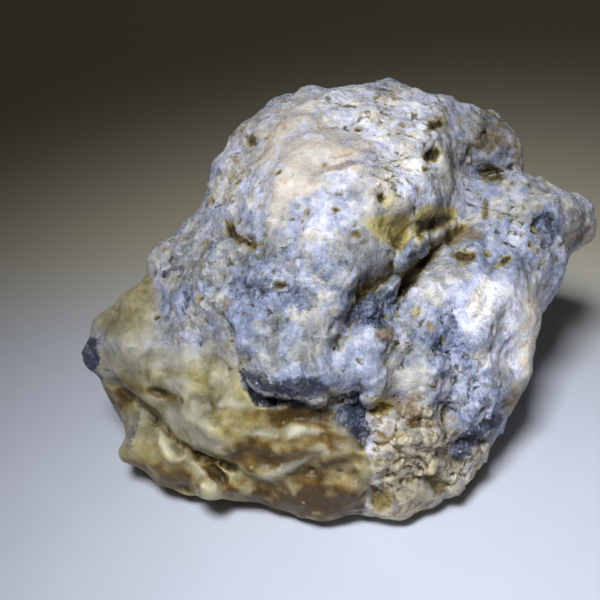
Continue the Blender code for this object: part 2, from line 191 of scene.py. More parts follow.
class Skin:
    """The stone's surface as arrays, with where the camera sees each point."""

    def __init__(self, mesh):
        self.mesh = mesh
        self.read()

    def read(self):
        mesh = self.mesh
        count = len(mesh.vertices)
        points = np.empty(count * 3)
        mesh.vertices.foreach_get("co", points)
        self.points = points.reshape(-1, 3)
        edges = np.empty(len(mesh.edges) * 2, np.int64)
        mesh.edges.foreach_get("vertices", edges)
        self.edges = edges.reshape(-1, 2)
        self.degree = np.bincount(self.edges.ravel(), minlength=count)
        self.read_normals()

    def read_normals(self):
        normals = np.empty(len(self.points) * 3)
        self.mesh.vertices.foreach_get("normal", normals)
        self.normals = normals.reshape(-1, 3)

    def look(self):
        """Finds each point's pixel, and whether the camera sees it. Pixels wander, for natural edges."""
        points = self.points
        offset = points - EYE
        depth = -offset @ TOWARD
        across = VIEW_SIDE / 2 + FOCAL * offset[:, 0] / depth
        down = VIEW_SIDE / 2 - FOCAL * (offset @ SCREEN_UP) / depth
        across = across + summed_noise(points, PIXEL_WANDER, 1)
        down = down + summed_noise(points, PIXEL_WANDER, 2)
        self.pixels = np.stack((across, down), axis=1)
        self.ragged = summed_noise(points, RAGGED_RIM)
        tree = BVHTree.FromPolygons(
            [Vector(p) for p in points], [tuple(face.vertices) for face in self.mesh.polygons]
        )
        eye = Vector(EYE)
        clear = np.ones(len(points))
        for index, point in enumerate(points):
            way = Vector(point) - eye
            distance = way.length
            if tree.ray_cast(eye, way / distance, distance - SIGHT_SLACK)[0] is not None:
                clear[index] = 0
        facing = smoothstep(*FACING, self.normals @ TOWARD)
        self.seen = self.averaged(clear, 2) * facing

    def averaged(self, values, rounds):
        """Values blurred over neighbouring points."""
        flat = values.reshape(len(self.points), -1).astype(float)
        first, second = self.edges[:, 0], self.edges[:, 1]
        for _ in range(rounds):
            total = flat.copy()
            for column in range(flat.shape[1]):
                total[:, column] += np.bincount(first, flat[second, column], len(flat))
                total[:, column] += np.bincount(second, flat[first, column], len(flat))
            flat = total / (self.degree + 1)[:, None]
        return flat.reshape(values.shape)

    def write(self):
        """Hands the moved points to the mesh."""
        self.mesh.vertices.foreach_set("co", self.points.ravel())
        self.mesh.update()
        self.read_normals()

    def refuse(self, voxel):
        """Evens out the mesh after strokes have stretched it."""
        self.write()
        self.mesh = evaluated(self.mesh, "REMESH", mode="VOXEL", voxel_size=voxel)
        self.read()
        self.look()

    def soften(self, rounds):
        """Wears off what is sharper than the mesh can show."""
        self.points = self.averaged(self.points, rounds)
        self.write()

    # Strokes give each point a share from 0 to 1. Paths and places are pixels.

    def from_path(self, path):
        """Each point's distance from a path in pixels, negative to the path's left."""
        nearest = np.full(len(self.points), 1e9)
        sign = np.ones(len(self.points))
        for start, end in zip(np.array(path[:-1], float), np.array(path[1:], float)):
            along = end - start
            offset = self.pixels - start
            share = np.clip(offset @ along / (along @ along), 0, 1)
            gap = offset - share[:, None] * along
            distance = np.hypot(gap[:, 0], gap[:, 1])
            side = np.where(along[0] * offset[:, 1] - along[1] * offset[:, 0] > 0, 1, -1)
            closer = distance < nearest
            nearest[closer] = distance[closer]
            sign[closer] = side[closer]
        return nearest * sign

    def line(self, path, half_width):
        """1 on a path, falling to 0 on both sides."""
        return np.clip(1 - np.abs(self.from_path(path)) / half_width, 0, 1) * self.seen

    def right_of(self, path, reach):
        """1 at a path's right edge, falling to 0 at its reach. The left side stays 0."""
        away = self.from_path(path)
        return np.where(away > 0, np.clip(1 - away / reach, 0, 1), 0) * self.seen

    def oval(self, place, radii, turn=0):
        """1 at the middle, 0 from an uneven rim out. A positive turn is clockwise on the screen."""
        t = math.radians(turn)
        offset = self.pixels - place
        u = (offset[:, 0] * math.cos(t) + offset[:, 1] * math.sin(t)) / radii[0]
        v = (offset[:, 1] * math.cos(t) - offset[:, 0] * math.sin(t)) / radii[1]
        angle = np.arctan2(v, u)
        uneven = 0.3 * np.sin(2 * angle + place[0]) + 0.25 * np.sin(3 * angle + place[1])
        uneven += 0.15 * np.sin(5 * angle)
        square = (u * u + v * v) * (1 + uneven)
        return np.clip(1 - square + self.ragged * (square < 1.6), 0, 1) * self.seen

    def region(self, outline, softness):
        """1 well inside an outline, 0 well outside it."""
        x, y = self.pixels[:, 0], self.pixels[:, 1]
        inside = np.zeros(len(self.points), bool)
        closed = list(outline) + [outline[0]]
        for (x0, y0), (x1, y1) in zip(closed[:-1], closed[1:]):
            if y0 != y1:
                crosses = ((y0 > y) != (y1 > y)) & (x < (x1 - x0) * (y - y0) / (y1 - y0) + x0)
                inside ^= crosses
        depth = np.abs(self.from_path(closed)) * np.where(inside, 1, -1)
        return smoothstep(-softness, softness, depth) * self.seen

    def sink(self, share, depth):
        """Presses points away from the camera."""
        self.points -= TOWARD * (share * depth)[:, None]

    def push(self, amount):
        """Moves points out along the normals."""
        self.points += self.normals * amount[:, None]


# ---------------------------------------------------------------- forms placed by pixel

# Steps: path, reach in pixels, drop in mm. The surface to the right of the path drops.
LEDGES = {
    "brow": (
        [(362, 398), (345, 402), (325, 405), (300, 406), (277, 404), (259, 407), (246, 388),
         (239, 366)], 24, 1.8),
    "wedge": ([(362, 392), (364, 415), (364, 441)], 14, 1.0),
    "face edge": ([(391, 278), (370, 282), (356, 297), (347, 322), (341, 347)], 14, 1.2),
    "left crevice": ([(267, 240), (251, 246), (244, 238), (238, 222)], 16, 0.9),
    "patch rim": ([(287, 283), (270, 275), (254, 277), (238, 282)], 12, 0.35),
    "foot crack": (
        [(262, 484), (249, 478), (225, 467), (207, 460), (196, 456), (182, 449), (171, 440), (162, 429),
         (153, 423)], 9, 0.9),
    "foot void": ([(226, 470), (212, 463), (199, 459)], 16, 1.6),
    "ochre step": ([(430, 389), (413, 392), (396, 397), (374, 402)], 10, 0.6),
    "lower step": ([(449, 423), (425, 424), (397, 421)], 8, 0.5),
    "right foot": ([(500, 412), (486, 424), (462, 434), (452, 446)], 16, 1.0),
    "wing crack": ([(488, 208), (484, 226), (483, 246)], 7, 0.5),
    "neck": ([(153, 421), (147, 414), (134, 403), (120, 393), (104, 382)], 10, 0.8),
    "flank crease": ([(156, 316), (158, 296), (153, 276)], 10, 0.5),
    "cheek shelf": ([(189, 397), (178, 385), (162, 374), (149, 364)], 9, 0.35),
    "cheek fold": ([(256, 414), (236, 412), (215, 411), (207, 400)], 8, 0.4),
    "cheek fold 2": ([(208, 396), (205, 384), (207, 372)], 6, 0.25),
    "boss line": ([(240, 452), (235, 441), (222, 427), (212, 414)], 7, 0.35),
    "skirt upper": ([(336, 431), (312, 422), (290, 424), (262, 432)], 10, 0.4),
    "skirt lower": ([(345, 476), (322, 468), (300, 474), (284, 484)], 10, 0.4),
    "white ridge": ([(322, 226), (340, 214), (360, 204), (378, 186)], 12, 0.35),
}

# Cracks: path, half width in pixels, depth in mm.
CRACKS = {
    "face crease": ([(296, 338), (312, 340), (328, 345), (340, 349)], 4, 0.35),
    "wing crack": ([(488, 208), (485, 226), (484, 246)], 3, 0.8),
    "right crack": ([(397, 437), (405, 430), (411, 425)], 3, 0.8),
    "crown streak": ([(304, 172), (322, 168), (345, 161), (372, 153)], 2.5, 0.25),
    "knob valley": ([(455, 106), (462, 128), (470, 150), (478, 170)], 7, 0.5),
    "ridge line": ([(150, 350), (147, 368), (150, 390)], 3, 0.3),
    "right hollow line": ([(455, 300), (452, 322), (440, 345), (436, 362)], 5, 0.5),
    "foot void": ([(197, 458), (207, 464), (217, 473), (224, 483)], 6.5, 1.3),
    "amber slot": ([(150, 389), (160, 393), (172, 396)], 3, 0.3),
    "boss edge": (
        [(152, 418), (165, 428), (180, 442), (194, 454), (212, 462), (232, 470), (256, 482)], 2.5, 0.5),
}

# Pits: place, radii in pixels, turn, depth in mm.
PITS = {
    "knob notch": ((510, 155), (5, 4), 0, 1.0),
    "wing hollow": ((546, 224), (12, 10), 0, 0.8),
    "ochre pit": ((381, 407), (13, 7), 10, 1.6),
    "ochre speck": ((389, 363), (4, 3), 0, 0.7),
    "yellow pit": ((416, 309), (5, 3.5), 20, 0.7),
    "rim hole": ((265, 376), (5, 3), -20, 1.2),
    "face hole 1": ((282, 249), (4, 3), 0, 0.9),
    "face hole 2": ((301, 265), (3, 3), 0, 0.7),
    "face hole 3": ((250, 269), (4, 3), 0, 0.7),
    "face hole 4": ((274, 270), (3, 2.5), 0, 0.6),
    "face hole 5": ((269, 312), (5, 3), 0, 0.7),
    "face hole 6": ((307, 309), (4, 3), 0, 0.8),
    "face hole 7": ((277, 331), (6, 4), 0, 0.8),
    "face hole 8": ((332, 329), (7, 4), -40, 0.9),
    "face hole 9": ((337, 304), (5, 2.5), -20, 0.7),
    "white pit": ((340, 218), (4, 3), 0, 0.9),
    "crown left pit": ((253, 142), (7, 5), 0, 0.9),
    "shoulder pit": ((247, 190), (6, 5), 0, 0.8),
    "dark dimple": ((363, 243), (5, 4), 0, 0.7),
    "amber slot": ((160, 393), (12, 4), 16, 0.6),
    "skirt pit 1": ((320, 454), (6, 2.5), -8, 0.8),
    "skirt pit 2": ((313, 470), (6, 2.5), -5, 0.8),
    "foot gap": ((187, 489), (9, 5), 20, 0.9),
    "fleck 1": ((411, 207), (3, 4), 0, 0.8),
    "fleck 2": ((458, 188), (3, 3), 0, 0.8),
    "low recess": ((468, 441), (18, 9), -28, 1.4),
}

# Lumps: place, radii in pixels, turn, height in mm.
LUMPS = {
    "pocket top": ((388, 291), (9, 10), 0, 1.0),
    "pocket middle": ((366, 309), (12, 11), -30, 0.9),
    "pocket right": ((382, 318), (9, 9), 0, 0.8),
    "pocket orange": ((384, 334), (12, 6), 10, 0.8),
    "cleft ridge": ((416, 247), (27, 6), -44, 1.0),
    "tooth one": ((172, 447), (6, 12), -35, 0.5),
    "low boss 1": ((379, 427), (15, 11), 0, 0.55),
    "low boss 2": ((404, 446), (14, 10), -10, 0.6),
    "low boss 3": ((428, 440), (19, 13), 0, 0.6),
    "low boss 4": ((436, 464), (16, 10), 0, 0.55),
    "low boss 5": ((400, 470), (19, 13), 0, 0.5),
    "low boss 6": ((368, 472), (12, 12), 0, 0.6),
    "low boss 7": ((420, 490), (22, 10), 0, 0.5),
    "low boss 8": ((452, 472), (12, 9), 0, 0.5),
    "low boss 9": ((354, 450), (12, 10), 0, 0.4),
    "low boss 10": ((392, 492), (14, 10), 0, 0.4),
    "low boss 11": ((420, 412), (14, 8), 0, 0.5),
    "right boss 1": ((475, 405), (18, 13), -20, 0.6),
    "right boss 2": ((500, 385), (12, 12), 0, 0.5),
    "right boss 3": ((505, 300), (20, 14), 0, 0.35),
    "right boss 4": ((440, 372), (10, 12), 10, 0.5),
    "right boss 5": ((495, 225), (14, 16), 0, 0.5),
    "right boss 6": ((435, 290), (14, 12), -40, 0.5),
    "shoulder": ((222, 170), (14, 22), 15, 0.5),
    "crown brow": ((352, 178), (40, 16), -18, 0.6),
    "edge bump": ((527, 371), (9, 12), 0, 0.5),
    "low knob": ((384, 480), (9, 8), 0, 0.7),
    "low knob 2": ((434, 463), (12, 6), -20, 0.7),
    "low knob 3": ((460, 476), (13, 9), -10, 0.7),
}

# Low plates and ridges: outline, softness of the edge in pixels, height in mm.
PLATES = {
    "cream boss": (
        [(156, 412), (175, 408), (200, 416), (222, 427), (240, 441), (240, 453), (226, 457), (207, 455),
         (189, 446), (176, 438), (164, 427)], 8, 0.8),
    "cheek": (
        [(149, 360), (160, 366), (182, 378), (196, 392), (184, 398), (170, 392), (150, 384)], 6, 0.45),
    "cheek top": ([(152, 338), (190, 332), (206, 350), (196, 372), (176, 366), (154, 352)], 9, 0.3),
    "gold shoulder": (
        [(210, 362), (230, 352), (240, 372), (250, 392), (258, 404), (238, 402), (214, 396)], 9, 0.35),
    "bright ridge": ([(214, 402), (228, 399), (246, 403), (256, 409), (240, 413), (218, 411)], 3, 0.4),
    "pale lens": ([(280, 436), (290, 425), (302, 422), (307, 428), (298, 437), (284, 440)], 3, 0.5),
    "skirt ridge": ([(230, 470), (262, 468), (300, 462), (300, 472), (262, 481), (236, 478)], 4, 0.4),
    "skirt mid": ([(256, 444), (290, 448), (330, 444), (350, 456), (330, 466), (280, 462)], 7, 0.35),
    "skirt low": ([(290, 486), (350, 478), (372, 492), (372, 510), (320, 516), (290, 504)], 8, 0.35),
    "crescent": (
        [(155, 427), (161, 428), (167, 440), (174, 452), (186, 458), (181, 464), (170, 462), (161, 452),
         (157, 440)], 2.5, 0.7),
    "tooth two": ([(197, 484), (206, 478), (218, 484), (223, 496), (216, 501), (204, 498)], 3, 1.1),
    "foot strip": ([(226, 478), (250, 485), (268, 492), (262, 500), (236, 496), (224, 488)], 3, 0.5),
    "left blend": ([(200, 236), (232, 232), (240, 300), (240, 350), (216, 354), (200, 300)], 16, 0.9),
}

# Cavities with dark floors, partly stained and partly painted shade: outline, softness in pixels, depth in
# mm, darkness.
CAVITIES = {
    "triangle": ([(376, 195), (383, 192), (388, 199), (382, 205), (377, 202)], 2.5, 1.2, 1.0),
    "hollow left": (
        [(369, 219), (376, 216), (386, 219), (401, 218), (410, 220), (411, 231), (408, 241), (401, 248),
         (395, 247), (393, 240), (381, 239), (374, 229)], 6, 0.5, 0.0),
    "hollow left foot": (
        [(390, 238), (398, 236), (405, 230), (405, 244), (397, 251), (391, 245)], 4, 0.5, 0.8),
    "hollow right": (
        [(419, 222), (428, 217), (441, 214), (452, 216), (446, 226), (437, 229), (427, 231), (418, 241),
         (415, 231)], 4, 1.0, 0.95),
    "cleft": (
        [(441, 250), (431, 262), (424, 269), (417, 279), (411, 287), (403, 299), (397, 297), (396, 287),
         (405, 273), (411, 264), (419, 254), (429, 245), (441, 242)], 3.5, 1.5, 0.85),
    "cleft top": ([(440, 244), (446, 232), (460, 226), (468, 228), (458, 239), (448, 248)], 4, 0.9, 0.8),
    "cleft arm": (
        [(393, 244), (396, 244), (396, 258), (395, 270), (391, 279), (388, 278),
         (392, 262)], 2.5, 0.9, 0.8),
    "right pit": (
        [(451, 254), (458, 249), (467, 254), (477, 251), (476, 260), (466, 264),
         (456, 262)], 3, 1.1, 0.9),
    "wing pit": ([(496, 264), (501, 257), (510, 256), (512, 262), (503, 268)], 3, 0.9, 0.9),
    "pocket rim": (
        [(346, 322), (350, 308), (357, 295), (366, 283), (377, 276), (390, 273), (389, 280), (378, 286),
         (368, 295), (360, 307), (354, 322), (348, 336)], 3.5, 1.0, 0.9),
    "pocket side": ([(394, 280), (399, 288), (400, 306), (398, 320), (394, 318), (395, 300)], 3, 0.8, 0.6),
    "crown olive": (
        [(425, 127), (431, 121), (440, 120), (444, 124), (436, 130), (428, 132)], 2.5, 0.5, 0.9),
    "crown lower": (
        [(423, 157), (429, 151), (437, 147), (441, 152), (434, 159), (426, 162)], 2.5, 0.5, 0.95),
    "crown dot": ([(420, 167), (425, 166), (427, 171), (422, 174)], 2, 0.7, 0.8),
    "under knob": ([(479, 168), (490, 164), (504, 170), (502, 180), (490, 183), (482, 178)], 4, 1.6, 0.8),
    "column line": ([(484, 198), (489, 202), (488, 218), (484, 224), (482, 212)], 3, 0.6, 0.6),
    "low hollow": ([(371, 492), (386, 488), (394, 496), (391, 509), (376, 510)], 4, 0.8, 0.5),
    "low right": ([(426, 472), (440, 470), (448, 482), (440, 496), (428, 490)], 5, 0.6, 0.4),
    "left crevice": (
        [(226, 218), (234, 226), (244, 237), (256, 243), (264, 246), (258, 251), (245, 248), (234, 242),
         (226, 230)], 3, 0.9, 0.85),
    "shoulder pit": ([(245, 137), (252, 133), (258, 138), (254, 145), (247, 144)], 2.5, 0.6, 0.6),
    "shoulder pit 2": ([(232, 158), (239, 156), (241, 163), (234, 166)], 2.5, 0.6, 0.5),
    "orange pit": ([(349, 232), (356, 230), (362, 233), (357, 238), (350, 237)], 2, 0.5, 0.6),
    "red pit": ([(331, 208), (338, 206), (341, 211), (334, 215)], 2, 0.6, 0.7),
    "dark slit": ([(412, 203), (416, 205), (416, 214), (412, 213)], 1.5, 0.6, 0.8),
}

# Powers that make ledges a little softer, and ovals' sides a little steeper.
LEDGE_POWER = 1.2
OVAL_POWER = 0.7


def carve_forms(skin):
    """Every form above, cut or raised along the line of sight."""
    for outline, softness, depth, _ in CAVITIES.values():
        skin.sink(skin.region(outline, softness), depth)
    for outline, softness, height in PLATES.values():
        skin.sink(skin.region(outline, softness), -height)
    for path, reach, drop in LEDGES.values():
        skin.sink(skin.right_of(path, reach) ** LEDGE_POWER, drop)
    for path, half_width, depth in CRACKS.values():
        skin.sink(skin.line(path, half_width), depth)
    for place, radii, turn, height in LUMPS.values():
        skin.sink(skin.oval(place, radii, turn) ** OVAL_POWER, -height)
    for place, radii, turn, depth in PITS.values():
        skin.sink(skin.oval(place, radii, turn) ** OVAL_POWER, depth)


# ---------------------------------------------------------------- zones

# Golden chalcedony: outline, softness in pixels, strength.
GOLD_REGIONS = {
    "under brow": (
        [(240, 356), (248, 388), (260, 407), (300, 407), (340, 408), (362, 440), (374, 470), (360, 530),
         (240, 520), (200, 500), (200, 440), (222, 390)], 6, 1.0),
    "left cheek": (
        [(236, 356), (256, 400), (240, 440), (140, 440), (95, 400), (80, 360), (120, 342), (160, 342),
         (205, 345)], 30, 0.95),
    "foot": ([(130, 415), (240, 440), (260, 525), (80, 500), (80, 440)], 8, 0.95),
    "left flank": (
        [(95, 330), (80, 310), (146, 262), (158, 290), (158, 330), (150, 352), (110, 345)], 16, 0.85),
    "right edge": (
        [(506, 425), (504, 396), (522, 372), (540, 330), (560, 290), (562, 330), (545, 390),
         (520, 420)], 9, 0.6),
}

# Clear yellow-olive quartz that lines the hollows: outline, softness in pixels, strength.
HONEY_REGIONS = {
    "hollow left": (
        [(365, 221), (374, 214), (390, 213), (402, 216), (412, 217), (412, 232), (408, 243), (398, 251),
         (390, 244), (378, 238), (369, 230)], 5, 1.0),
    "hollow right": (
        [(416, 212), (428, 206), (449, 206), (458, 212), (450, 226), (438, 230), (427, 232), (417, 243),
         (413, 232)], 5, 1.0),
    "triangle": ([(384, 190), (394, 190), (400, 202), (392, 212), (380, 208)], 5, 0.6),
    "crown olive": ([(423, 123), (432, 118), (444, 117), (447, 127), (438, 133), (426, 134)], 4, 0.55),
    "crown lower": ([(419, 154), (428, 148), (438, 144), (445, 152), (435, 162), (422, 165)], 4, 0.55),
    "cleft wall": ([(444, 232), (454, 225), (466, 222), (470, 230), (458, 236), (448, 240)], 4, 0.6),
    "yellow pit": ([(411, 306), (418, 305), (424, 311), (418, 315), (412, 312)], 3, 0.6),
    "right pit": ([(450, 252), (460, 248), (476, 250), (476, 262), (462, 266), (452, 261)], 4, 0.5),
    "wing pit": ([(495, 262), (502, 256), (512, 256), (512, 264), (502, 268)], 3, 0.5),
    "ochre pit": ([(370, 401), (382, 397), (395, 403), (391, 413), (378, 416)], 3, 0.9),
}

# Where the gold deepens to amber, and where the amber also paints shade under the brow and along the lower
# skirt, where the stone turns under: place, radii in pixels, turn, strength.
AMBER_AND_SHADE_SPOTS = {
    "undercut": ((302, 416), (56, 13), 2, 1.15),
    "undercut left": ((250, 418), (22, 10), 10, 0.45),
    "low left": ((258, 456), (46, 22), 15, 0.85),
    "skirt": ((310, 470), (62, 40), 0, 0.75),
    "skirt low": ((330, 500), (96, 26), 4, 1.0),
    "slot": ((161, 393), (18, 8), 16, 1.0),
    "neck": ((118, 400), (18, 20), -30, 1.0),
    "foot": ((164, 478), (50, 16), 22, 0.75),
    "right skirt": ((372, 496), (14, 12), 0, 0.8),
    "right low": ((440, 492), (50, 16), -15, 0.45),
    "flank line": ((156, 296), (6, 28), 0, 0.5),
    "right edge": ((512, 398), (12, 26), 20, 0.45),
    "under lens": ((330, 440), (26, 12), 5, 0.9),
    "foot void": ((212, 470), (18, 10), 45, 1.0),
    "foot crack": ((184, 447), (40, 5), 38, 0.9),
    "tip fold": ((130, 384), (18, 8), 30, 0.5),
    "low hollow": ((382, 500), (12, 10), 0, 1.0),
    "skirt low left": ((268, 500), (46, 16), 6, 1.0),
}

# Dark films of manganese, and at the wedge partly painted shade: outline, softness in pixels, strength.
SOOT_REGIONS = {
    "rim": (
        [(240, 366), (250, 372), (262, 374), (270, 384), (284, 380), (300, 375), (316, 378), (326, 385),
         (330, 392), (322, 396), (306, 397), (290, 402), (276, 407), (262, 406), (248, 399),
         (240, 384)], 5, 0.85),
    # The wedge's fracture faces down and away: its dark film is partly manganese and partly painted shade.
    "wedge": (
        [(365, 384), (366, 441), (352, 437), (340, 428), (331, 419), (334, 410), (346, 402),
         (353, 392)], 6, 0.85),
    "wing tip": (
        [(89, 336), (100, 338), (97, 349), (99, 360), (96, 369), (106, 379), (101, 384), (90, 379),
         (80, 363), (80, 348)], 5, 0.95),
    "low recess": (
        [(447, 448), (455, 434), (470, 427), (486, 417), (499, 411), (503, 418), (488, 432), (473, 448),
         (460, 463), (450, 462)], 5, 1.0),
    "rim left": (
        [(239, 366), (248, 370), (258, 378), (266, 388), (270, 400), (262, 404), (248, 396),
         (241, 384)], 5, 1.0),
    "pocket": (
        [(352, 320), (358, 302), (370, 296), (384, 300), (390, 314), (384, 328), (366, 326),
         (354, 332)], 6, 0.5),
}

# Thin dark films: path, half width in pixels, strength.
SOOT_LINES = {
    "wing lower": ([(108, 370), (118, 382)], 5, 0.6),
    "foot left": ([(137, 416), (133, 430), (128, 446)], 7, 0.45),
    "pocket top": ([(372, 296), (362, 303), (352, 318)], 8, 0.75),
    "pocket left": ([(350, 320), (344, 330)], 6, 0.7),
    "pocket right": ([(384, 316), (380, 326)], 7, 0.7),
    "patch one": ([(238, 288), (252, 292), (268, 286)], 18, 0.5),
    "patch two": ([(286, 294), (298, 300), (306, 308)], 13, 0.5),
    "patch three": ([(165, 276), (175, 268), (182, 269)], 6, 0.8),
    "patch four": ([(184, 292), (190, 300), (188, 310)], 5, 0.6),
    "right dot 1": ([(438, 340), (440, 352)], 8, 0.55),
    "right dot 2": ([(452, 316), (455, 326)], 8, 0.5),
    "right dot 3": ([(444, 376), (452, 372)], 7, 0.55),
    "right dot 4": ([(462, 358), (468, 366)], 7, 0.5),
    "wing dark": ([(538, 216), (552, 228), (545, 246)], 10, 0.55),
    "right low": ([(462, 402), (468, 398)], 8, 0.45),
    "right low 2": ([(480, 400), (486, 406)], 7, 0.45),
}

# Bluish mottling: place, radii in pixels, turn, strength.
BLUE_SPOTS = {
    "face patch": ((252, 300), (30, 28), 0, 0.75),
    "face patch low": ((246, 330), (16, 16), 0, 0.6),
    "face patch 2": ((294, 298), (20, 18), 0, 0.9),
    "face left": ((256, 262), (24, 14), 0, 0.5),
    "above rim": ((316, 382), (40, 16), 4, 0.6),
    "pocket": ((375, 308), (22, 26), 0, 1.0),
    "wedge": ((350, 414), (20, 24), 0, 1.0),
    "right upper": ((440, 306), (42, 28), -20, 0.8),
    "right middle": ((446, 346), (26, 44), 20, 0.9),
    "right lower": ((480, 400), (40, 40), 0, 0.95),
    "right top": ((500, 256), (44, 22), 0, 0.7),
    "ridge": ((414, 249), (28, 9), -44, 1.0),
    "face middle": ((322, 264), (44, 24), 0, 0.6),
    "shoulder": ((246, 216), (16, 10), 0, 0.4),
    "left slope": ((186, 292), (14, 20), 0, 0.35),
    "wing": ((545, 225), (26, 24), 0, 0.6),
}

# Milky, greyer places in the gold: place, radii in pixels, turn, strength.
MILK_SPOTS = {
    "boss": ((190, 424), (36, 15), 32, 0.5),
    "boss tip": ((222, 446), (18, 8), 30, 0.4),
    "cheek": ((176, 352), (40, 22), 0, 0.8),
    "cheek low": ((178, 384), (22, 9), 10, 0.7),
    "wing": ((126, 350), (28, 24), 0, 0.6),
    "slope": ((150, 318), (20, 30), 0, 0.4),
    "lens": ((298, 430), (20, 5), -6, 0.8),
    "lens left": ((262, 434), (18, 4), 6, 0.7),
    "low streak": ((282, 470), (26, 6), -20, 0.8),
    "streak": ((322, 452), (22, 5), 8, 0.6),
    "streak low": ((340, 470), (24, 5), -10, 0.5),
    "ridge": ((231, 405), (19, 4), 3, 0.7),
    "tooth": ((210, 488), (10, 8), 20, 0.5),
    "crescent": ((168, 446), (7, 18), -30, 0.5),
    "shoulder": ((228, 378), (18, 26), 0, 0.4),
}

# Duller crust, partly its own darker tone and partly painted shade where faces turn down and away from the
# light: place, radii in pixels, turn, strength.
DULL_AND_SHADE_SPOTS = {
    "milky": ((288, 348), (66, 42), 0, 1.0),
    "above rim": ((310, 372), (50, 12), 4, 0.15),
    "pocket": ((372, 308), (30, 38), 0, 0.9),
    "left face": ((232, 262), (46, 28), 0, 0.6),
    "facet": ((366, 256), (30, 30), 0, 0.6),
    "lower face": ((330, 316), (44, 34), 0, 0.5),
    "ridge": ((408, 256), (30, 12), -48, 0.8),
    "knob": ((490, 140), (30, 36), 0, 0.5),
    "left slope": ((176, 300), (24, 40), 0, 0.4),
    "wing": ((520, 232), (44, 34), 0, 0.6),
    "milky right": ((404, 380), (36, 16), 0, 0.55),
    "face centre": ((326, 300), (34, 28), 0, 0.5),
    "shoulder": ((232, 176), (26, 40), 20, 0.5),
    "right blue": ((452, 346), (30, 44), 20, 0.15),
    "crown low": ((347, 202), (22, 16), 0, 0.5),
    "boss": ((200, 428), (32, 18), 30, 0.5),
    "wing left": ((124, 350), (28, 28), 0, 0.5),
}

# Tan crust, darker in its fine crevices, partly gold showing between its grains and partly painted shade:
# outline, softness in pixels, strength.
TAN_REGIONS = {
    "right skirt": (
        [(368, 404), (400, 398), (450, 416), (470, 432), (488, 450), (480, 500), (420, 534), (362, 534),
         (374, 470)], 8, 1.0),
    "rim right": (
        [(262, 398), (300, 400), (340, 396), (362, 396), (360, 406), (300, 410), (266, 410)], 4, 0.5),
}

# Paler crust: outline, softness in pixels, strength.
PALE_REGIONS = {
    "crown": (
        [(216, 215), (224, 155), (256, 108), (290, 84), (345, 78), (400, 88), (448, 94), (450, 140),
         (466, 180), (455, 206), (410, 205), (362, 214), (340, 226), (300, 236), (268, 226),
         (240, 222)], 16, 0.9),
    "right mass": (
        [(446, 285), (485, 275), (520, 282), (540, 330), (520, 372), (480, 372), (450, 345)], 12, 0.75),
    "right wing": ([(488, 200), (530, 205), (525, 255), (490, 250)], 10, 0.4),
    # The right band is paler partly in its own colour and partly as painted light, where the light falls
    # brightest on the right.
    "right band": ([(505, 285), (540, 280), (548, 330), (530, 372), (505, 372)], 8, 1.0),
}

# Bright frost: place, radii in pixels, turn, strength.
FROST_SPOTS = {
    "crown top": ((348, 98), (60, 24), 0, 1.0),
    "crown right": ((404, 150), (30, 40), 0, 0.7),
    "crown middle": ((352, 182), (26, 10), -20, 0.15),
    "shoulder": ((228, 176), (24, 44), 20, 0.6),
    "face centre": ((326, 296), (30, 24), -20, 0.35),
    "right centre": ((488, 308), (46, 42), 0, 0.8),
    "right middle": ((452, 366), (14, 14), 0, 0.6),
    "right band": ((526, 335), (20, 46), 5, 1.0),
    "right lower": ((508, 360), (18, 24), 0, 0.8),
    "right wing": ((502, 238), (24, 18), 0, 0.6),
    "right foot": ((484, 396), (34, 22), 0, 0.6),
    "pocket white": ((369, 342), (12, 8), 0, 0.5),
    "face white": ((332, 332), (8, 6), 0, 0.5),
    "skirt speck": ((296, 431), (12, 7), -10, 0.9),
    "skirt speck 2": ((342, 446), (12, 6), 20, 0.7),
    "skirt speck 3": ((316, 464), (7, 4), 0, 0.7),
    "crown top right": ((420, 104), (40, 22), 10, 1.0),
    "crown middle low": ((322, 216), (24, 22), 0, 0.1),
    "face top": ((314, 248), (24, 16), 0, 0.2),
    "crown middle top": ((386, 122), (50, 26), 0, 0.8),
    "low knob": ((384, 480), (9, 9), 0, 0.9),
    "low knob 2": ((434, 463), (11, 6), -20, 0.6),
    "low knob 3": ((460, 474), (14, 8), 0, 0.9),
    "low knob 4": ((385, 425), (14, 9), 0, 0.5),
    "milky right": ((402, 380), (34, 14), 10, 0.6),
    "gold shoulder": ((228, 378), (20, 28), 0, 0.4),
    "skirt speck 4": ((322, 447), (10, 6), 0, 0.8),
    "tooth": ((211, 491), (11, 10), 20, 0.7),
    "crescent": ((166, 444), (8, 20), -30, 0.6),
}

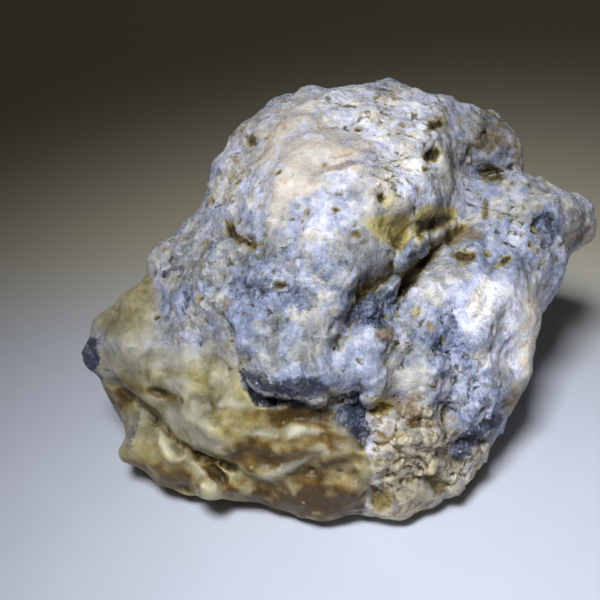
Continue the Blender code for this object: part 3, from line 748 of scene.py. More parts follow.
# Warm, bone-coloured crust: place, radii in pixels, turn, strength.
WARM_SPOTS = {
    "left slope": ((198, 262), (40, 34), 0, 0.9),
    "left slope low": ((208, 310), (30, 20), 0, 0.5),
    "face left": ((234, 256), (34, 26), 0, 0.7),
    "milky": ((290, 340), (56, 34), 0, 1.0),
    "milky left": ((222, 336), (20, 20), 0, 0.9),
    "olive facet": ((372, 262), (24, 30), 0, 0.8),
    "milky right": ((402, 384), (36, 20), 0, 0.9),
    "ochre": ((414, 406), (46, 20), 0, 1.0),
    "rim right": ((334, 399), (24, 10), 0, 1.0),
    "yellow": ((402, 350), (20, 14), 0, 0.8),
    "knob": ((486, 140), (30, 36), 0, 0.9),
    "crown left": ((255, 130), (30, 30), 0, 0.8),
    "crown spots": ((455, 168), (14, 12), 0, 0.8),
    "right wing": ((520, 216), (24, 16), 0, 0.7),
    "far wing": ((575, 224), (20, 26), 0, 0.9),
    "right yellow": ((480, 310), (16, 12), 0, 0.6),
    "hollow skin": ((396, 204), (18, 14), 0, 0.8),
    "gold shoulder": ((236, 384), (26, 32), 0, 0.9),
    "gold low": ((240, 424), (40, 22), 10, 0.9),
    "gold hollow": ((396, 225), (22, 18), 0, 1.0),
    "gold hollow right": ((434, 222), (20, 14), -30, 1.0),
    "crescent": ((168, 448), (12, 20), -30, 0.8),
    "tooth": ((210, 488), (14, 14), 0, 0.8),
    "left flank": ((140, 300), (20, 34), 0, 0.6),
    "cheek": ((196, 380), (20, 16), 0, 0.6),
    "skirt": ((300, 470), (90, 40), 0, 0.85),
    "foot": ((160, 462), (50, 30), 20, 0.7),
    "right skirt": ((410, 450), (70, 60), 0, 0.6),
    "shoulder": ((236, 170), (22, 34), 20, 0.6),
    "right band": ((530, 330), (16, 40), 0, 0.8),
    "crown middle": ((300, 150), (52, 40), -20, 0.4),
    "face middle": ((330, 262), (30, 30), 0, 0.35),
}

# The smooth pinkish-cream skin of the crown: outline, softness, strength.
CREAM_REGIONS = {
    "crown": (
        [(262, 128), (300, 102), (325, 118), (345, 145), (372, 148), (360, 172), (325, 186), (300, 200),
         (272, 205), (258, 170)], 12, 0.9),
    "milky brow": (
        [(246, 352), (276, 328), (318, 322), (346, 344), (338, 364), (292, 372), (256, 374)], 14, 0.1),
    "milky right": ([(376, 372), (400, 364), (432, 380), (424, 390), (396, 394), (376, 398)], 8, 0.15),
    "right band": ([(518, 300), (534, 290), (548, 330), (536, 366), (520, 372), (514, 340)], 8, 0.8),
}

# Orange-brown stain: place, radii in pixels, turn, strength.
STAIN_SPOTS = {
    "crown streak": ((345, 166), (38, 5), -14, 0.8),
    "crown streak 2": ((350, 154), (28, 3), -12, 0.6),
    "crown edge": ((272, 96), (24, 4), -28, 0.8),
    "face peach": ((226, 304), (12, 9), 0, 0.5),
    "face peach 2": ((292, 268), (12, 9), 0, 0.5),
    "pocket orange": ((384, 335), (12, 7), 10, 1.0),
    "cleft": ((432, 248), (30, 5), -48, 0.6),
    "cleft top": ((462, 234), (22, 10), -20, 0.9),
    "knob": ((500, 140), (22, 26), 0, 0.7),
    "ochre pit": ((383, 408), (17, 9), 0, 1.0),
    "ochre crack": ((410, 396), (28, 6), -8, 0.8),
    "ochre crack low": ((424, 425), (28, 4), 0, 0.8),
    "ochre": ((404, 406), (26, 12), 0, 0.75),
    "rim right": ((352, 394), (8, 5), 0, 0.7),
    "skirt red": ((314, 441), (22, 6), 0, 0.8),
    "skirt red low": ((282, 487), (18, 6), 8, 0.9),
    "far wing": ((575, 232), (18, 24), 30, 0.6),
    "right edge": ((510, 404), (10, 18), 20, 0.6),
    "shoulder pits": ((240, 140), (10, 12), 0, 0.6),
}

# Granular crust: place, radii in pixels, turn, strength.
GRAINY_SPOTS = {
    "face left": ((248, 256), (52, 36), 0, 1.0),
    "face patch": ((252, 304), (34, 34), 0, 1.0),
    "face patch 2": ((296, 300), (24, 20), 0, 1.0),
    "face top": ((318, 262), (46, 26), 0, 0.8),
    "left slope": ((196, 288), (40, 48), 0, 0.8),
    "pocket": ((374, 312), (24, 30), 0, 1.0),
    "wedge": ((350, 414), (18, 26), 0, 0.8),
    "rim": ((268, 386), (34, 20), 20, 1.0),
    "right mass": ((450, 340), (54, 60), 0, 0.8),
    "right low": ((480, 396), (44, 40), 0, 0.9),
    "ochre": ((424, 404), (36, 16), 0, 0.9),
    "wing": ((520, 232), (50, 36), 0, 0.7),
    "knob": ((486, 140), (32, 36), 0, 0.8),
    "crown right": ((400, 176), (40, 30), 0, 0.6),
    "shoulder": ((234, 180), (26, 40), 20, 0.6),
    "right skirt": ((420, 450), (70, 60), 0, 0.8),
}

# Blocky crystals: place, radii in pixels, turn, strength.
BLOCKY_SPOTS = {
    "pocket": ((374, 308), (28, 34), 0, 1.0),
    "cleft ridge": ((412, 252), (32, 12), -48, 1.0),
    "wedge": ((350, 414), (20, 28), 0, 0.8),
    "face patch": ((254, 300), (36, 32), 0, 0.8),
    "rim": ((264, 392), (22, 16), 0, 0.9),
    "right lower": ((474, 396), (38, 32), 0, 0.8),
    "right skirt": ((420, 450), (74, 60), 0, 0.8),
    "right middle": ((440, 340), (30, 40), 0, 0.6),
    "wing": ((516, 232), (34, 30), 0, 0.6),
    "crown right": ((416, 160), (34, 44), 0, 0.6),
    "shoulder": ((230, 180), (24, 40), 20, 0.5),
}

# Pitted crust: place, radii in pixels, turn, strength.
PITTED_SPOTS = {
    "crown top": ((380, 114), (86, 34), 3, 1.0),
    "crown right": ((420, 165), (44, 34), 0, 0.7),
    "shoulder": ((226, 182), (24, 46), 20, 0.9),
    "left slope": ((196, 258), (44, 34), 0, 0.7),
    "under cream": ((296, 226), (46, 22), 0, 0.5),
    "knob": ((480, 130), (30, 30), 0, 0.7),
    "ochre": ((420, 400), (40, 20), 0, 0.6),
    "rim right": ((334, 400), (24, 10), 0, 0.8),
    "right top": ((470, 250), (40, 24), 0, 0.6),
    "milky right": ((406, 352), (34, 16), 0, 0.5),
}

# Guesses for the sides that the camera does not see: share, noise salt, wavelength in mm, threshold.
UNSEEN = {
    "amber_and_shade": (1.0, 46, 6.0, 0.05),
    "soot": (0.8, 41, 5.0, 0.2),
    "honey": (0.8, 50, 5.0, 0.3),
    "milk": (0.7, 56, 6.0, 0.1),
    "dull_and_shade": (0.6, 54, 6.0, 0.1),
    "tan": (0.7, 51, 8.0, 0.1),
    "blue": (0.8, 42, 7.0, 0.12),
    "frost": (0.8, 43, 7.0, 0.12),
    "warm": (0.8, 47, 8.0, 0.0),
    "cream": (0.8, 44, 9.0, 0.12),
    "stain": (0.5, 45, 4.0, 0.2),
    "blocky": (0.8, 55, 7.0, 0.0),
    "grainy": (0.9, 48, 9.0, -0.1),
    "pitted": (0.9, 49, 8.0, 0.0),
}
UNSEEN_EDGE = 0.33
UNSEEN_PALE = 0.8
# Unseen gold: its share, the heights in mm over which it gives way to crust, how much lower it ends
# for each mm to the right, and the height, wavelength and salt of the noise along its edge.
UNSEEN_GOLD = 0.9
GOLD_HEIGHTS = (13.0, 6.0)
GOLD_SLOPE = 0.25
GOLD_EDGE_NOISE = ((3.5, 9.0, 31),)
# Powers that widen spots, the second one more, and the share from which a line counts in full.
SPOT_POWER = 0.8
FIRM_POWER = 0.6
LINE_FULL = 0.7


def strongest(shares):
    """The largest of several shares at each point."""
    return np.max(list(shares), axis=0)


def spotted(skin, spots, power=SPOT_POWER):
    """A mask of ovals, each with its strength."""
    return strongest(
        strength * skin.oval(place, radii, turn) ** power
        for place, radii, turn, strength in spots.values()
    )


def filled(skin, regions):
    """A mask of outlined regions, each with its strength."""
    return strongest(
        strength * skin.region(outline, softness) for outline, softness, strength in regions.values()
    )


def lined(skin, lines):
    """A mask of strokes along paths, each with its strength."""
    return strongest(
        strength * smoothstep(0, LINE_FULL, skin.line(path, half_width))
        for path, half_width, strength in lines.values()
    )


def gold_share(skin):
    """Where the stone is golden: painted where the camera sees it, and low down everywhere else."""
    height = skin.points[:, 2] + summed_noise(skin.points, GOLD_EDGE_NOISE)
    low = smoothstep(*GOLD_HEIGHTS, height + GOLD_SLOPE * skin.points[:, 0])
    return np.clip(filled(skin, GOLD_REGIONS) + (1 - skin.seen) * low * UNSEEN_GOLD, 0, 1)


def zones(skin):
    """The masks that steer the relief and the material."""
    hidden = 1 - skin.seen
    gold = gold_share(skin)
    painted = {
        "amber_and_shade": spotted(skin, AMBER_AND_SHADE_SPOTS),
        "soot": np.maximum(filled(skin, SOOT_REGIONS), lined(skin, SOOT_LINES)),
        "honey": filled(skin, HONEY_REGIONS),
        "milk": spotted(skin, MILK_SPOTS),
        "dull_and_shade": spotted(skin, DULL_AND_SHADE_SPOTS),
        "tan": filled(skin, TAN_REGIONS),
        "blue": spotted(skin, BLUE_SPOTS),
        "frost": spotted(skin, FROST_SPOTS),
        "warm": spotted(skin, WARM_SPOTS),
        "cream": filled(skin, CREAM_REGIONS),
        "stain": spotted(skin, STAIN_SPOTS, FIRM_POWER),
        "blocky": spotted(skin, BLOCKY_SPOTS, FIRM_POWER),
        "grainy": spotted(skin, GRAINY_SPOTS),
        "pitted": spotted(skin, PITTED_SPOTS),
    }
    zone = {
        "gold": gold,
        "cavity_stain_and_shade": strongest(
            darkness * skin.region(outline, softness)
            for outline, softness, _, darkness in CAVITIES.values()
        ),
        "pale": np.clip(filled(skin, PALE_REGIONS) + UNSEEN_PALE * hidden, 0, 1),
    }
    for name, (share, salt, wavelength, low) in UNSEEN.items():
        noise = gradient_noise(skin.points, wavelength, salt)
        guess = hidden * smoothstep(low, low + UNSEEN_EDGE, noise)
        # Amber, and the shade it paints, lie only in the gold.
        if name == "amber_and_shade":
            guess = gold * guess
        zone[name] = np.clip(painted[name] + share * guess, 0, 1)
    return zone


# The small relief. All sizes, wavelengths, heights and depths are in mm.
# It fades in between these heights above the ground.
FOOT_BAND = (0.15, 1.0)
# Noise that bends the cells' edges: reach, wavelength, salts.
WARP_REACH = 0.5
WARP_WAVE = 1.6
WARP_SALTS = (51, 52, 53)
# How much of the facets is lost in calm places, and in pale places that are not pitted.
CALM_LOSS = 0.75
PALE_LOSS = 0.35
# Swells: height, what gold and cream take off it, and wavelength, salt and layers.
SWELL = 0.4
SWELL_GOLD = 0.25
SWELL_CREAM = 0.15
SWELL_NOISE = (3.8, 71, 3)
# Crystal facets in the crust: size, tilt, swell, salt.
FACETS = ((3.0, 0.38, 0.08, 61), (1.5, 0.22, 0.06, 63), (0.75, 0.15, 0.05, 65))
# Blocky crystals: size and salt, tilt, swell, and how much their edges bend.
BLOCK_CELLS = (1.7, 73)
BLOCK_TILT = 0.55
BLOCK_SWELL = 0.16
BLOCK_WARP = 0.25
# Pits: spacing and salt, stretch, depth. Cells have one whose number is over a limit that masks lower.
PIT_CELLS = (1.15, 67)
PIT_STRETCH = (1.0, 1.0, 0.8)
PIT_DEPTH = 0.5
PIT_LIMIT = 0.94
# Folds in the gold, drawn out sideways: wavelengths and salts, the finer one's share, height, sinking.
FOLD_NOISE = (2.6, 81)
FOLD_FINE_NOISE = (1.1, 82)
FOLD_FINE_SHARE = 0.4
FOLD_HEIGHT = 0.24
FOLD_SINK = 0.08
# Beads in the gold, and faint waves in the cream.
BEAD_CELLS = (1.6, 69)
BEAD_HEIGHT = 0.12
CREAM_NOISE = (3.2, 83)
CREAM_STRETCH = (0.7, 1.0, 1.0)
CREAM_HEIGHT = 0.2


def roughen(skin, zone):
    """The small relief: crystals, grains and pits in the crust; waxy folds in the gold; silky cream."""
    points = skin.points
    still = smoothstep(*FOOT_BAND, points[:, 2])
    gold = zone["gold"]
    cream = zone["cream"]
    grainy = zone["grainy"] * (1 - gold)
    calm = np.clip(gold + 0.8 * cream, 0, 1)
    crust = still * (1 - CALM_LOSS * calm) * (1 - PALE_LOSS * zone["pale"] * (1 - zone["pitted"]))
    warp = [gradient_noise(points, WARP_WAVE, salt) for salt in WARP_SALTS]
    warped = points + WARP_REACH * np.stack(warp, axis=1)

    height = still * (SWELL - SWELL_GOLD * gold - SWELL_CREAM * cream)
    skin.push(height * layered_noise(points, *SWELL_NOISE))
    for size, tilt, swell, salt in FACETS:
        distance, way, numbers = cells(warped, size, salt)
        facet = np.sum(way * (numbers * 2 - 1), axis=1)
        amount = crust * (0.6 + 0.4 * grainy)
        skin.push(amount * (tilt * facet + swell * (0.55 - distance)))

    distance, way, numbers = cells(points + BLOCK_WARP * (warped - points), *BLOCK_CELLS)
    block = np.sum(way * (numbers * 2 - 1), axis=1)
    skin.push(still * (1 - calm) * zone["blocky"] * (BLOCK_TILT * block + BLOCK_SWELL * (0.5 - distance)))

    holes, _, numbers = cells(warped * PIT_STRETCH, *PIT_CELLS)
    chosen = numbers[:, 0] > PIT_LIMIT - 0.32 * zone["pitted"] - 0.05 * grainy
    deep = smoothstep(0.16 + 0.24 * numbers[:, 1], 0.1, holes) * chosen
    skin.push(-still * (1 - 0.9 * gold) * (1 - 0.6 * cream) * PIT_DEPTH * deep)
    halo = smoothstep(0.6, 0.25, holes) * chosen
    zone["pit"] = (0.4 * halo + 0.6 * deep) * (1 - 0.9 * gold)

    drawn = points * (0.4, 1.0, 1.0) + 0.3 * points[:, [2, 0, 1]] * (0.0, 0.0, -0.5)
    folds = np.abs(gradient_noise(drawn, *FOLD_NOISE))
    folds = folds + FOLD_FINE_SHARE * np.abs(gradient_noise(drawn, *FOLD_FINE_NOISE))
    skin.push(still * gold * (FOLD_HEIGHT * folds - FOLD_SINK))
    beads, _, numbers = cells(warped, *BEAD_CELLS)
    skin.push(still * gold * BEAD_HEIGHT * smoothstep(0.6, 0.1, beads) * (numbers[:, 1] - 0.4))
    skin.push(still * cream * CREAM_HEIGHT * gradient_noise(points * CREAM_STRETCH, *CREAM_NOISE))
    skin.points[:, 2] = np.maximum(skin.points[:, 2], 0)
    skin.write()


# How hollow the skin lies, at a fine and a broad scale, for the painted shade and dirt in the material:
# rounds of blurring, and the depth in mm that counts as full.
FINE_HOLLOWS = (6, 0.1)
BROAD_HOLLOWS = (40, 0.45)


def hollows(skin, rounds, full):
    """How sunk each point is: 0.5 on even ground, up to 1 in a hollow, down to 0 on a bump."""
    way = skin.averaged(skin.points, rounds) - skin.points
    return np.clip(np.sum(way * skin.normals, axis=1) / full, -1, 1) * 0.5 + 0.5


def skin_mesh(solid):
    """The stone's fine mesh, with its masks as attributes."""
    mesh = solid.data.copy()
    mesh.transform(Matrix.Scale(1 / MM, 4))
    skin = Skin(evaluated(mesh, "REMESH", mode="VOXEL", voxel_size=FIRST_VOXEL))
    skin.soften(FIRST_SOFTENING)
    skin.look()
    carve_forms(skin)
    skin.refuse(FINE_VOXEL)
    skin.soften(FINE_SOFTENING)
    masks = zones(skin)
    roughen(skin, masks)
    masks["fine"] = hollows(skin, *FINE_HOLLOWS)
    masks["broad"] = hollows(skin, *BROAD_HOLLOWS)
    for name, values in masks.items():
        attribute = skin.mesh.attributes.new(name, "FLOAT", "POINT")
        attribute.data.foreach_set("value", values)
    triangles = sum(len(face.vertices) - 2 for face in skin.mesh.polygons)
    thinned = evaluated(skin.mesh, "DECIMATE", ratio=min(1, MOST_TRIANGLES / triangles))
    main_surface(thinned)
    thinned.transform(Matrix.Scale(MM, 4))
    thinned.shade_smooth()
    thinned.materials.clear()
    return thinned


# ---------------------------------------------------------------- material


class Graph:
    """A material's node tree, with short calls for the nodes used here. Places are in millimetres.

    A value is a number, a colour, a vector, the output of a node or the name of a mask.
    """

    def __init__(self, name):
        self.material = bpy.data.materials.new(name)
        self.material.use_nodes = True
        self.tree = self.material.node_tree
        self.shader = self.tree.nodes["Principled BSDF"]
        coordinates = self.node("ShaderNodeTexCoord", {})
        self.place = self.scaled(coordinates.outputs["Object"], 1 / MM)

    def give(self, socket, value):
        if isinstance(value, str):
            value = self.node("ShaderNodeAttribute", {}, attribute_name=value).outputs["Fac"]
        if isinstance(value, bpy.types.NodeSocket):
            self.tree.links.new(value, socket)
        else:
            socket.default_value = value

    def node(self, kind, inputs, **settings):
        """A new node. The settings come first, as they decide which inputs it has."""
        made = self.tree.nodes.new(kind)
        for name, value in settings.items():
            setattr(made, name, value)
        for name, value in inputs.items():
            self.give(made.inputs[name], value)
        return made

    def vector(self, operation, *values):
        node = self.node("ShaderNodeVectorMath", dict(enumerate(values)), operation=operation)
        return node.outputs["Vector"]

    def scaled(self, vector, scale):
        node = self.node("ShaderNodeVectorMath", {0: vector, "Scale": scale}, operation="SCALE")
        return node.outputs["Vector"]

    def swing(self, numbers, reach):
        """A way made of three numbers in 0..1: centred on 0, then scaled."""
        return self.scaled(self.vector("SUBTRACT", numbers, (0.5, 0.5, 0.5)), reach)

    def bent(self, place, wavelength, reach):
        """Places pushed about by noise."""
        noise = self.node("ShaderNodeTexNoise", {"Vector": self.place, "Scale": 1 / wavelength})
        return self.vector("ADD", place, self.swing(noise.outputs["Color"], reach))

    def split(self, vector):
        return self.node("ShaderNodeSeparateXYZ", {"Vector": vector}).outputs

    def noise(self, wavelength, detail, roughness=0.55, distortion=0.0, stretch=None):
        inputs = {
            "Vector": self.vector("MULTIPLY", self.place, stretch) if stretch else self.place,
            "Scale": 1 / wavelength,
            "Detail": detail,
            "Roughness": roughness,
            "Distortion": distortion,
        }
        return self.node("ShaderNodeTexNoise", inputs).outputs["Fac"]

    def cells(self, size, place, smooth=0.0):
        """Three random numbers for each cell. Smooth cells run into one another."""
        inputs = {"Vector": place, "Scale": 1 / size}
        if not smooth:
            return self.node("ShaderNodeTexVoronoi", inputs).outputs["Color"]
        inputs["Smoothness"] = smooth
        return self.node("ShaderNodeTexVoronoi", inputs, feature="SMOOTH_F1").outputs["Color"]

    def math(self, operation, *values):
        node = self.node("ShaderNodeMath", dict(enumerate(values)), operation=operation)
        return node.outputs["Value"]

    def product(self, first, second):
        return self.math("MULTIPLY", first, second)

    def centred(self, value):
        return self.math("SUBTRACT", value, 0.5)

    def total(self, start, *terms):
        """A value plus pairs of a value and its weight."""
        made = start
        for value, weight in terms:
            made = self.math("MULTIPLY_ADD", value, weight, made)
        return made

    def step(self, value, low, high, to_low=0.0, to_high=1.0):
        """Value eased from to_low at low to to_high at high."""
        inputs = {
            "Value": value, "From Min": low, "From Max": high, "To Min": to_low, "To Max": to_high,
        }
        return self.node("ShaderNodeMapRange", inputs, interpolation_type="SMOOTHSTEP").outputs["Result"]

    def broken(self, mask, noise, spread, edge):
        """A mask whose edge is broken up by noise."""
        return self.step(self.total(mask, (self.centred(noise), spread)), 0.5 - edge, 0.5 + edge)

    def ramp(self, value, tones):
        """Colours along a scale of values."""
        node = self.node("ShaderNodeValToRGB", {"Fac": value})
        stops = node.color_ramp.elements
        while len(stops) < len(tones):
            stops.new(0.5)
        for stop, (place, tone) in zip(stops, sorted(tones.items())):
            stop.position = place
            stop.color = tone
        return node.outputs["Color"]

    def mix(self, share, first, second, way="MIX"):
        """A colour between two colours."""
        inputs = {"Factor": share, "A": first, "B": second}
        return self.node("ShaderNodeMix", inputs, data_type="RGBA", blend_type=way).outputs["Result"]

    def tint(self, share, first, second):
        return self.mix(share, first, second, "MULTIPLY")

    def paint(self, body, share, strength, tone):
        """A colour with a tone laid over a share of it."""
        return self.mix(self.product(share, strength), body, tone)

    def blend(self, share, first, second):
        """A number between two numbers."""
        inputs = {"Factor": share, "A": first, "B": second}
        return self.node("ShaderNodeMix", inputs, data_type="FLOAT").outputs["Result"]

    def bump(self, height, distance, strength):
        inputs = {"Height": height, "Distance": distance * MM, "Strength": strength}
        return self.node("ShaderNodeBump", inputs).outputs["Normal"]


def colour(red, green, blue):
    """An sRGB colour, 0 to 255, as a shader takes it."""
    linear = []
    for value in (red, green, blue):
        share = value / 255
        linear.append(share / 12.92 if share <= 0.04045 else ((share + 0.055) / 1.055) ** 2.4)
    return (*linear, 1.0)


# Crust, from its darkest grains to its brightest, and the tints that it is stained with.
CRUST_TONES = {
    0.0: colour(78, 85, 102),
    0.22: colour(116, 124, 140),
    0.42: colour(150, 156, 174),
    0.6: colour(182, 184, 197),
    0.8: colour(212, 212, 224),
    1.0: colour(244, 244, 253),
}
BLUE_TINT = colour(238, 243, 255)
LAVENDER_TINT = colour(246, 247, 255)
WARM_TINT = colour(255, 246, 223)
OLIVE = colour(136, 126, 80)
PEACH_TINT = colour(255, 238, 222)
TAN_TINT = colour(240, 229, 204)
TAN_DEEP = colour(118, 98, 56)
YELLOW_TINT = colour(255, 244, 190)
# Gold, from its clear, dark depths to its milky ridges.
GOLD_TONES = {
    0.0: colour(92, 82, 54),
    0.28: colour(128, 120, 92),
    0.5: colour(156, 151, 126),
    0.72: colour(178, 175, 156),
    1.0: colour(208, 207, 198),
}
# Deep amber, which also stands in for painted shade under the brow and along the lower skirt.
AMBER_AND_SHADE_TONES = {0.2: colour(70, 50, 10), 0.5: colour(106, 80, 24), 0.8: colour(138, 113, 52)}
PALE_CRUMB = colour(196, 190, 168)
MILK = colour(184, 183, 176)
SOOT_TONES = {
    0.25: colour(26, 29, 38),
    0.5: colour(44, 50, 66),
    0.75: colour(84, 92, 114),
    1.0: colour(190, 194, 206),
}
MOSS = colour(128, 116, 66)
PIT_OLIVE = colour(142, 124, 62)
RUST = colour(142, 110, 56)
AMBER = colour(92, 72, 34)
UMBER = colour(52, 43, 28)
HONEY_TONES = {0.2: colour(136, 119, 60), 0.5: colour(186, 171, 106), 0.8: colour(216, 206, 160)}
CAVITY_DARK = colour(36, 29, 16)
CAVITY_OLIVE = colour(84, 69, 36)


# Sizes of the crust's cells in mm.
GRAIN_SIZE = 0.2
TUFT_SIZE = 0.55
FLAKE_SIZE = 0.95
PATCH_SIZE = 2.3
# Noises that bend the cells' edges: wavelength and reach in mm.
GRAIN_BEND = (0.5, 0.3)
FLAKE_BEND = (0.9, 1.3)
# Noises of the colours: wavelength in mm, detail, roughness, distortion, and a stretch where drawn out.
HAZE = (1.8, 5.0, 0.62, 0.3)
SMALL = (0.8, 5.0, 0.65)
GRIT = (0.26, 3.0, 0.6)
GOLD_EDGE = (1.4, 5.0, 0.65, 0.4)
SOOT_EDGE = (0.9, 6.0, 0.75, 0.6)
HONEY_EDGE = (0.9, 2.0, 0.5)
FLECKS = (0.62, 2.0, 0.5)
FLECK_CLUSTERS = (2.6, 2.0, 0.5)
MOTTLE = (1.15, 2.5, 0.5, 0.2)
HUE = (3.0, 3.0, 0.6, 0.4)
STREAKS = (0.7, 4.0, 0.6, 0.4, (0.22, 0.7, 1.0))
FLOW = (2.4, 3.0, 0.5, 0.6, (0.5, 1.0, 1.0))
VEINS = (1.3, 3.0, 0.5, 1.2, (0.5, 1.0, 1.0))
CRUMBS = (0.6, 2.0, 0.5)
# What the masks add to flecking, to the crust's light and warmth, and to the gold's light. The dull mask's
# darkening is partly painted shade, and the fine and broad hollows darken the gold as painted shade.
FLECKING = {"pitted": 0.08, "warm": 0.03, "cream": -0.07, "blue": -0.03}
CRUST_LIGHT = {
    "pale": 0.2, "frost": 0.24, "cream": 0.08, "blue": -0.11, "grainy": -0.06, "tan": 0.06, "dull_and_shade": -0.2,
}
CRUST_WARMTH = {"warm": 0.4, "cream": 0.2, "blue": -0.35, "frost": -0.12}
GOLD_LIGHT = {"frost": 0.38, "fine": -0.3, "broad": -0.2, "warm": 0.16, "dull_and_shade": -0.15}


class Stone:
    """The parts of the stone's look that its colour, gloss and relief share."""

    def __init__(self, graph):
        g = self.graph = graph
        bent = g.bent(g.place, *GRAIN_BEND)
        self.swayed = g.bent(bent, *FLAKE_BEND)
        self.grain = g.cells(GRAIN_SIZE, bent)
        self.tuft = g.cells(TUFT_SIZE, bent, smooth=0.5)
        self.haze = g.noise(*HAZE)
        self.small = g.noise(*SMALL)
        self.gold = g.broken("gold", g.noise(*GOLD_EDGE), 0.8, 0.3)
        self.soot = g.broken("soot", g.blend(0.2, g.noise(*SOOT_EDGE), self.grain), 2.4, 0.3)
        # Over 0.6 lies an olive fleck, and over 0.72 a small hole.
        clusters = g.centred(g.noise(*FLECK_CLUSTERS))
        self.flecks = g.total(g.noise(*FLECKS), (clusters, 0.55), *FLECKING.items())
        self.holes = g.product(g.step(self.flecks, 0.72, 0.8), g.blend(self.gold, 1.0, 0.15))

    def crust(self):
        g = self.graph
        calm = g.product("cream", 0.7)
        mottle = g.noise(*MOTTLE)
        patch = g.split(g.cells(PATCH_SIZE, self.swayed))
        flake = g.split(g.cells(FLAKE_SIZE, self.swayed))
        light = g.total(
            0.51,
            (g.centred(self.grain), g.blend(calm, g.blend("grainy", 0.06, 0.16), 0.04)),
            (g.centred(self.tuft), g.blend(calm, 0.3, 0.1)),
            (g.centred(mottle), g.blend(calm, 0.25, 0.15)),
            (g.centred(patch["X"]), g.blend(calm, 0.2, 0.05)),
            (g.centred(flake["X"]), g.blend(calm, 0.16, 0.05)),
            (g.centred(self.haze), g.blend(calm, 0.6, 0.3)),
            *CRUST_LIGHT.items(),
        )
        body = g.ramp(light, CRUST_TONES)
        hue = g.centred(g.noise(*HUE))
        patch_hue, flake_hue = g.centred(patch["Y"]), g.centred(flake["Y"])
        warmth = g.total(0.45, (hue, 1.8), (patch_hue, 0.6), (flake_hue, 0.4), *CRUST_WARMTH.items())
        body = g.tint(g.step(warmth, 0.38, 0.7), body, WARM_TINT)
        body = g.tint(g.step(warmth, 0.15, 0.35, 1.0, 0.0), body, LAVENDER_TINT)
        body = g.tint("blue", body, BLUE_TINT)
        body = g.tint("tan", body, TAN_TINT)
        # Deeper tan in the fine crevices, broken by haze: partly gold showing between the grains and
        # partly painted shade.
        between = g.step(g.total(0.0, ("fine", 0.8), (self.haze, 0.6)), 0.72, 0.95)
        body = g.paint(body, g.product("tan", between), 0.75, TAN_DEEP)
        body = g.paint(body, g.step(self.flecks, 0.6, 0.7), 0.4, OLIVE)
        silk = g.product("cream", g.step(g.noise(*STREAKS), 0.45, 0.62))
        return g.tint(silk, body, PEACH_TINT)

    def golden(self):
        g = self.graph
        flow, veins = g.centred(g.noise(*FLOW)), g.centred(g.noise(*VEINS))
        small, grain = g.centred(self.small), g.centred(self.grain)
        light = g.total(0.56, (flow, 0.6), (small, 0.4), (grain, 0.14), *GOLD_LIGHT.items())
        body = g.ramp(light, GOLD_TONES)
        yellow = g.total(0.18, ("warm", 0.85), (veins, 1.2), ("frost", -0.3))
        body = g.tint(g.step(yellow, 0.1, 1.0), body, YELLOW_TINT)
        body = g.paint(body, "milk", 0.75, MILK)
        # Amber over the gold: its own colour, and painted shade under the brow and skirt.
        deep = g.ramp(g.total(0.95, ("amber_and_shade", -0.85), (veins, 0.7)), AMBER_AND_SHADE_TONES)
        share = g.total(0.0, ("amber_and_shade", 1.2), (flow, 0.5), (small, 0.35), ("milk", -0.6))
        body = g.mix(g.product(g.step(share, 0.0, 1.0), g.blend("frost", 1.0, 0.25)), body, deep)
        crumbs = g.step(g.total(g.noise(*CRUMBS), ("frost", 0.05)), 0.66, 0.78)
        return g.paint(body, crumbs, 0.4, PALE_CRUMB)

    def colour(self):
        """Crust, gold, stains, crevice dirt, painted shade in the hollows and cavities, and manganese, one
        over another.
        """
        g = self.graph
        haze, small = g.centred(self.haze), g.centred(self.small)
        body = g.mix(self.gold, self.crust(), self.golden())
        rust = g.mix(g.step(self.small, 0.4, 0.65), AMBER, RUST)
        body = g.paint(body, g.broken("stain", self.small, 0.9, 0.35), 0.65, rust)
        body = g.paint(body, g.step("pit", 0.0, 0.6), 0.8, PIT_OLIVE)
        body = g.paint(body, g.step("pit", 0.6, 1.0), 0.9, UMBER)
        # Moss in the fine crevices: partly dirt and partly painted shade.
        crevice_dirt_and_shade = g.product(g.step("fine", 0.6, 0.95), g.step(self.haze, 0.35, 0.6, 0.2, 1.0))
        body = g.paint(body, crevice_dirt_and_shade, 0.5, MOSS)
        # Umber in the deepest hollows: partly dirt and partly painted shade.
        sunk = g.product(g.step("fine", 0.78, 1.0), g.step("broad", 0.5, 0.8))
        body = g.paint(body, sunk, 0.8, UMBER)
        body = g.paint(body, self.holes, 0.7, g.mix(g.step(self.small, 0.4, 0.6), UMBER, MOSS))
        # Honey quartz in the hollows, darker in the broad hollows as painted shade.
        honey = g.ramp(g.total(0.6, (small, 1.0), (haze, 0.8), ("broad", -0.15)), HONEY_TONES)
        body = g.mix(g.broken("honey", g.noise(*HONEY_EDGE), 0.9, 0.45), body, honey)
        # The cavities' floors turn olive, then near black: partly stain and partly painted shade.
        depth = g.total("cavity_stain_and_shade", (haze, 0.7), (g.centred(self.tuft), 0.25))
        body = g.paint(body, g.step(depth, 0.15, 0.4), 0.7, PIT_OLIVE)
        bottom = g.mix(g.step(self.small, 0.4, 0.62), CAVITY_DARK, CAVITY_OLIVE)
        body = g.paint(body, g.step(depth, 0.35, 0.85), 0.95, bottom)
        crystals = g.ramp(g.total(0.5, (g.centred(self.grain), 0.7), (small, 1.2)), SOOT_TONES)
        return g.paint(body, self.soot, 0.95, crystals)

    def relief(self):
        """Normals: fine grit, softer in the gold, and grains that each catch the light their own way."""
        g = self.graph
        height = g.blend(self.gold, g.noise(*GRIT), g.product(self.small, 0.8))
        height = g.math("SUBTRACT", height, g.product(self.holes, 1.2))
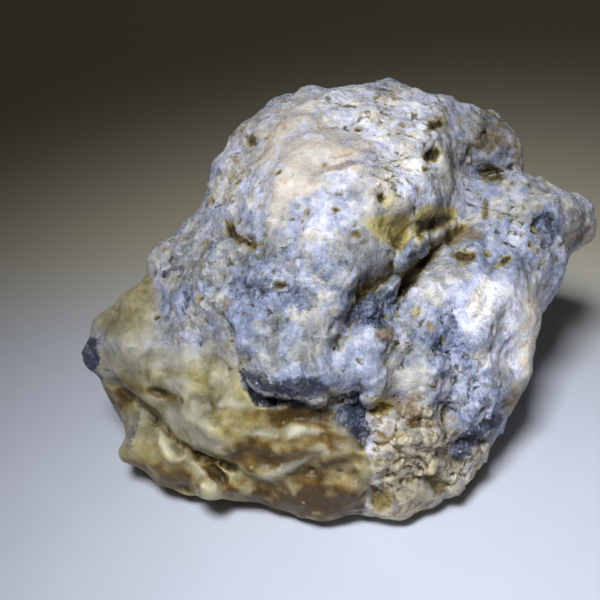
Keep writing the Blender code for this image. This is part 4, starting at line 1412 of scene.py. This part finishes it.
        # How loose the grains lie: most in the granular crust, hardly at all in the gold.
        loose = g.product(g.blend("grainy", 0.35, 1.0), g.blend(self.gold, 1.0, 0.12))
        tilt = g.swing(self.grain, g.product(loose, 0.8))
        return g.vector("NORMALIZE", g.vector("ADD", g.bump(height, 0.2, 0.9), tilt))


def stone_material():
    g = Graph("weathered_stone")
    stone = Stone(g)
    rough = g.blend(g.step(stone.grain, 0.45, 0.6), 0.5, 0.22)
    clear = g.blend(stone.gold, g.blend("grainy", 0.6, 0.25), 0.85)
    g.give(g.shader.inputs["Base Color"], stone.colour())
    g.give(g.shader.inputs["Roughness"], g.blend(stone.gold, rough, 0.42))
    g.give(g.shader.inputs["Normal"], stone.relief())
    g.give(g.shader.inputs["Subsurface Weight"], clear)
    g.shader.inputs["Subsurface Radius"].default_value = (1.0, 0.76, 0.48)
    g.shader.inputs["Subsurface Scale"].default_value = 2.2 * MM
    g.shader.inputs["Specular IOR Level"].default_value = 0.36
    return g.material


def floor_material():
    """Pale and cool, and warmer towards the back."""
    g = Graph("pale_floor")
    near = g.mix(g.noise(9.0, 4.0), colour(184, 187, 198), colour(192, 195, 206))
    away = g.split(g.place)["Y"]
    g.give(g.shader.inputs["Base Color"], g.mix(g.step(away, 4.0, 42.0), near, colour(196, 188, 164)))
    g.give(g.shader.inputs["Normal"], g.bump(g.noise(1.4, 5.0), 0.05, 0.5))
    g.shader.inputs["Roughness"].default_value = 0.75
    return g.material


# ---------------------------------------------------------------- the scene


# Metres.
FLOOR_REACH = 0.9
CLIP_START = 0.001
CLIP_END = 10.0
# Area lights: place and target in mm, size in mm, power in W, tint, spread in degrees.
LIGHTS = {
    "key": ((-32, -110, 172), (12, -18, 0), 46, 0.042, (0.92, 0.955, 1.0), 44.0),
    "fill": ((110, -140, 90), (0, 0, 14), 160, 0.008, (1.0, 0.96, 0.88), 180.0),
    "back": ((70, 190, 120), (0, 0, 14), 160, 0.004, (1.0, 0.96, 0.9), 180.0),
}
SKY = (0.6, 0.58, 0.54, 1.0)
SKY_STRENGTH = 0.06


def add_floor():
    mesh = bpy.data.meshes.new("floor")
    corners = [(x * FLOOR_REACH, y * FLOOR_REACH, 0) for x, y in ((-1, -1), (1, -1), (1, 1), (-1, 1))]
    mesh.from_pydata(corners, [], [(0, 1, 2, 3)])
    mesh.materials.append(floor_material())
    floor = bpy.data.objects.new("floor", mesh)
    bpy.context.scene.collection.objects.link(floor)


def aimed(data, name, place, target):
    """A camera or light at a place in mm, looking at a target in mm."""
    thing = bpy.data.objects.new(name, data)
    thing.location = Vector(place) * MM
    way = Vector(target) - Vector(place)
    thing.rotation_euler = way.to_track_quat("-Z", "Y").to_euler()
    bpy.context.scene.collection.objects.link(thing)
    return thing


def add_camera():
    data = bpy.data.cameras.new("camera")
    data.sensor_fit = "HORIZONTAL"
    data.angle = VIEW_FIELD
    data.clip_start = CLIP_START
    data.clip_end = CLIP_END
    bpy.context.scene.camera = aimed(data, "camera", EYE, VIEW_AIM)


def add_lights():
    for name, (place, target, size, power, tint, spread) in LIGHTS.items():
        data = bpy.data.lights.new(name, "AREA")
        data.size = size * MM
        data.energy = power
        data.color = tint
        data.spread = math.radians(spread)
        aimed(data, name, place, target)
    world = bpy.data.worlds.new("studio")
    world.use_nodes = True
    background = world.node_tree.nodes["Background"]
    background.inputs["Color"].default_value = SKY
    background.inputs["Strength"].default_value = SKY_STRENGTH
    bpy.context.scene.world = world
    bpy.context.scene.view_settings.view_transform = "Standard"


def add_stone():
    mesh = skin_mesh(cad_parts["stone"])
    mesh.materials.append(stone_material())
    skin = bpy.data.objects.new("weathered_skin", mesh)
    bpy.context.scene.collection.objects.link(skin)
    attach(skin, "root")
    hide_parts("stone")


add_camera()
add_lights()
add_floor()
add_stone()
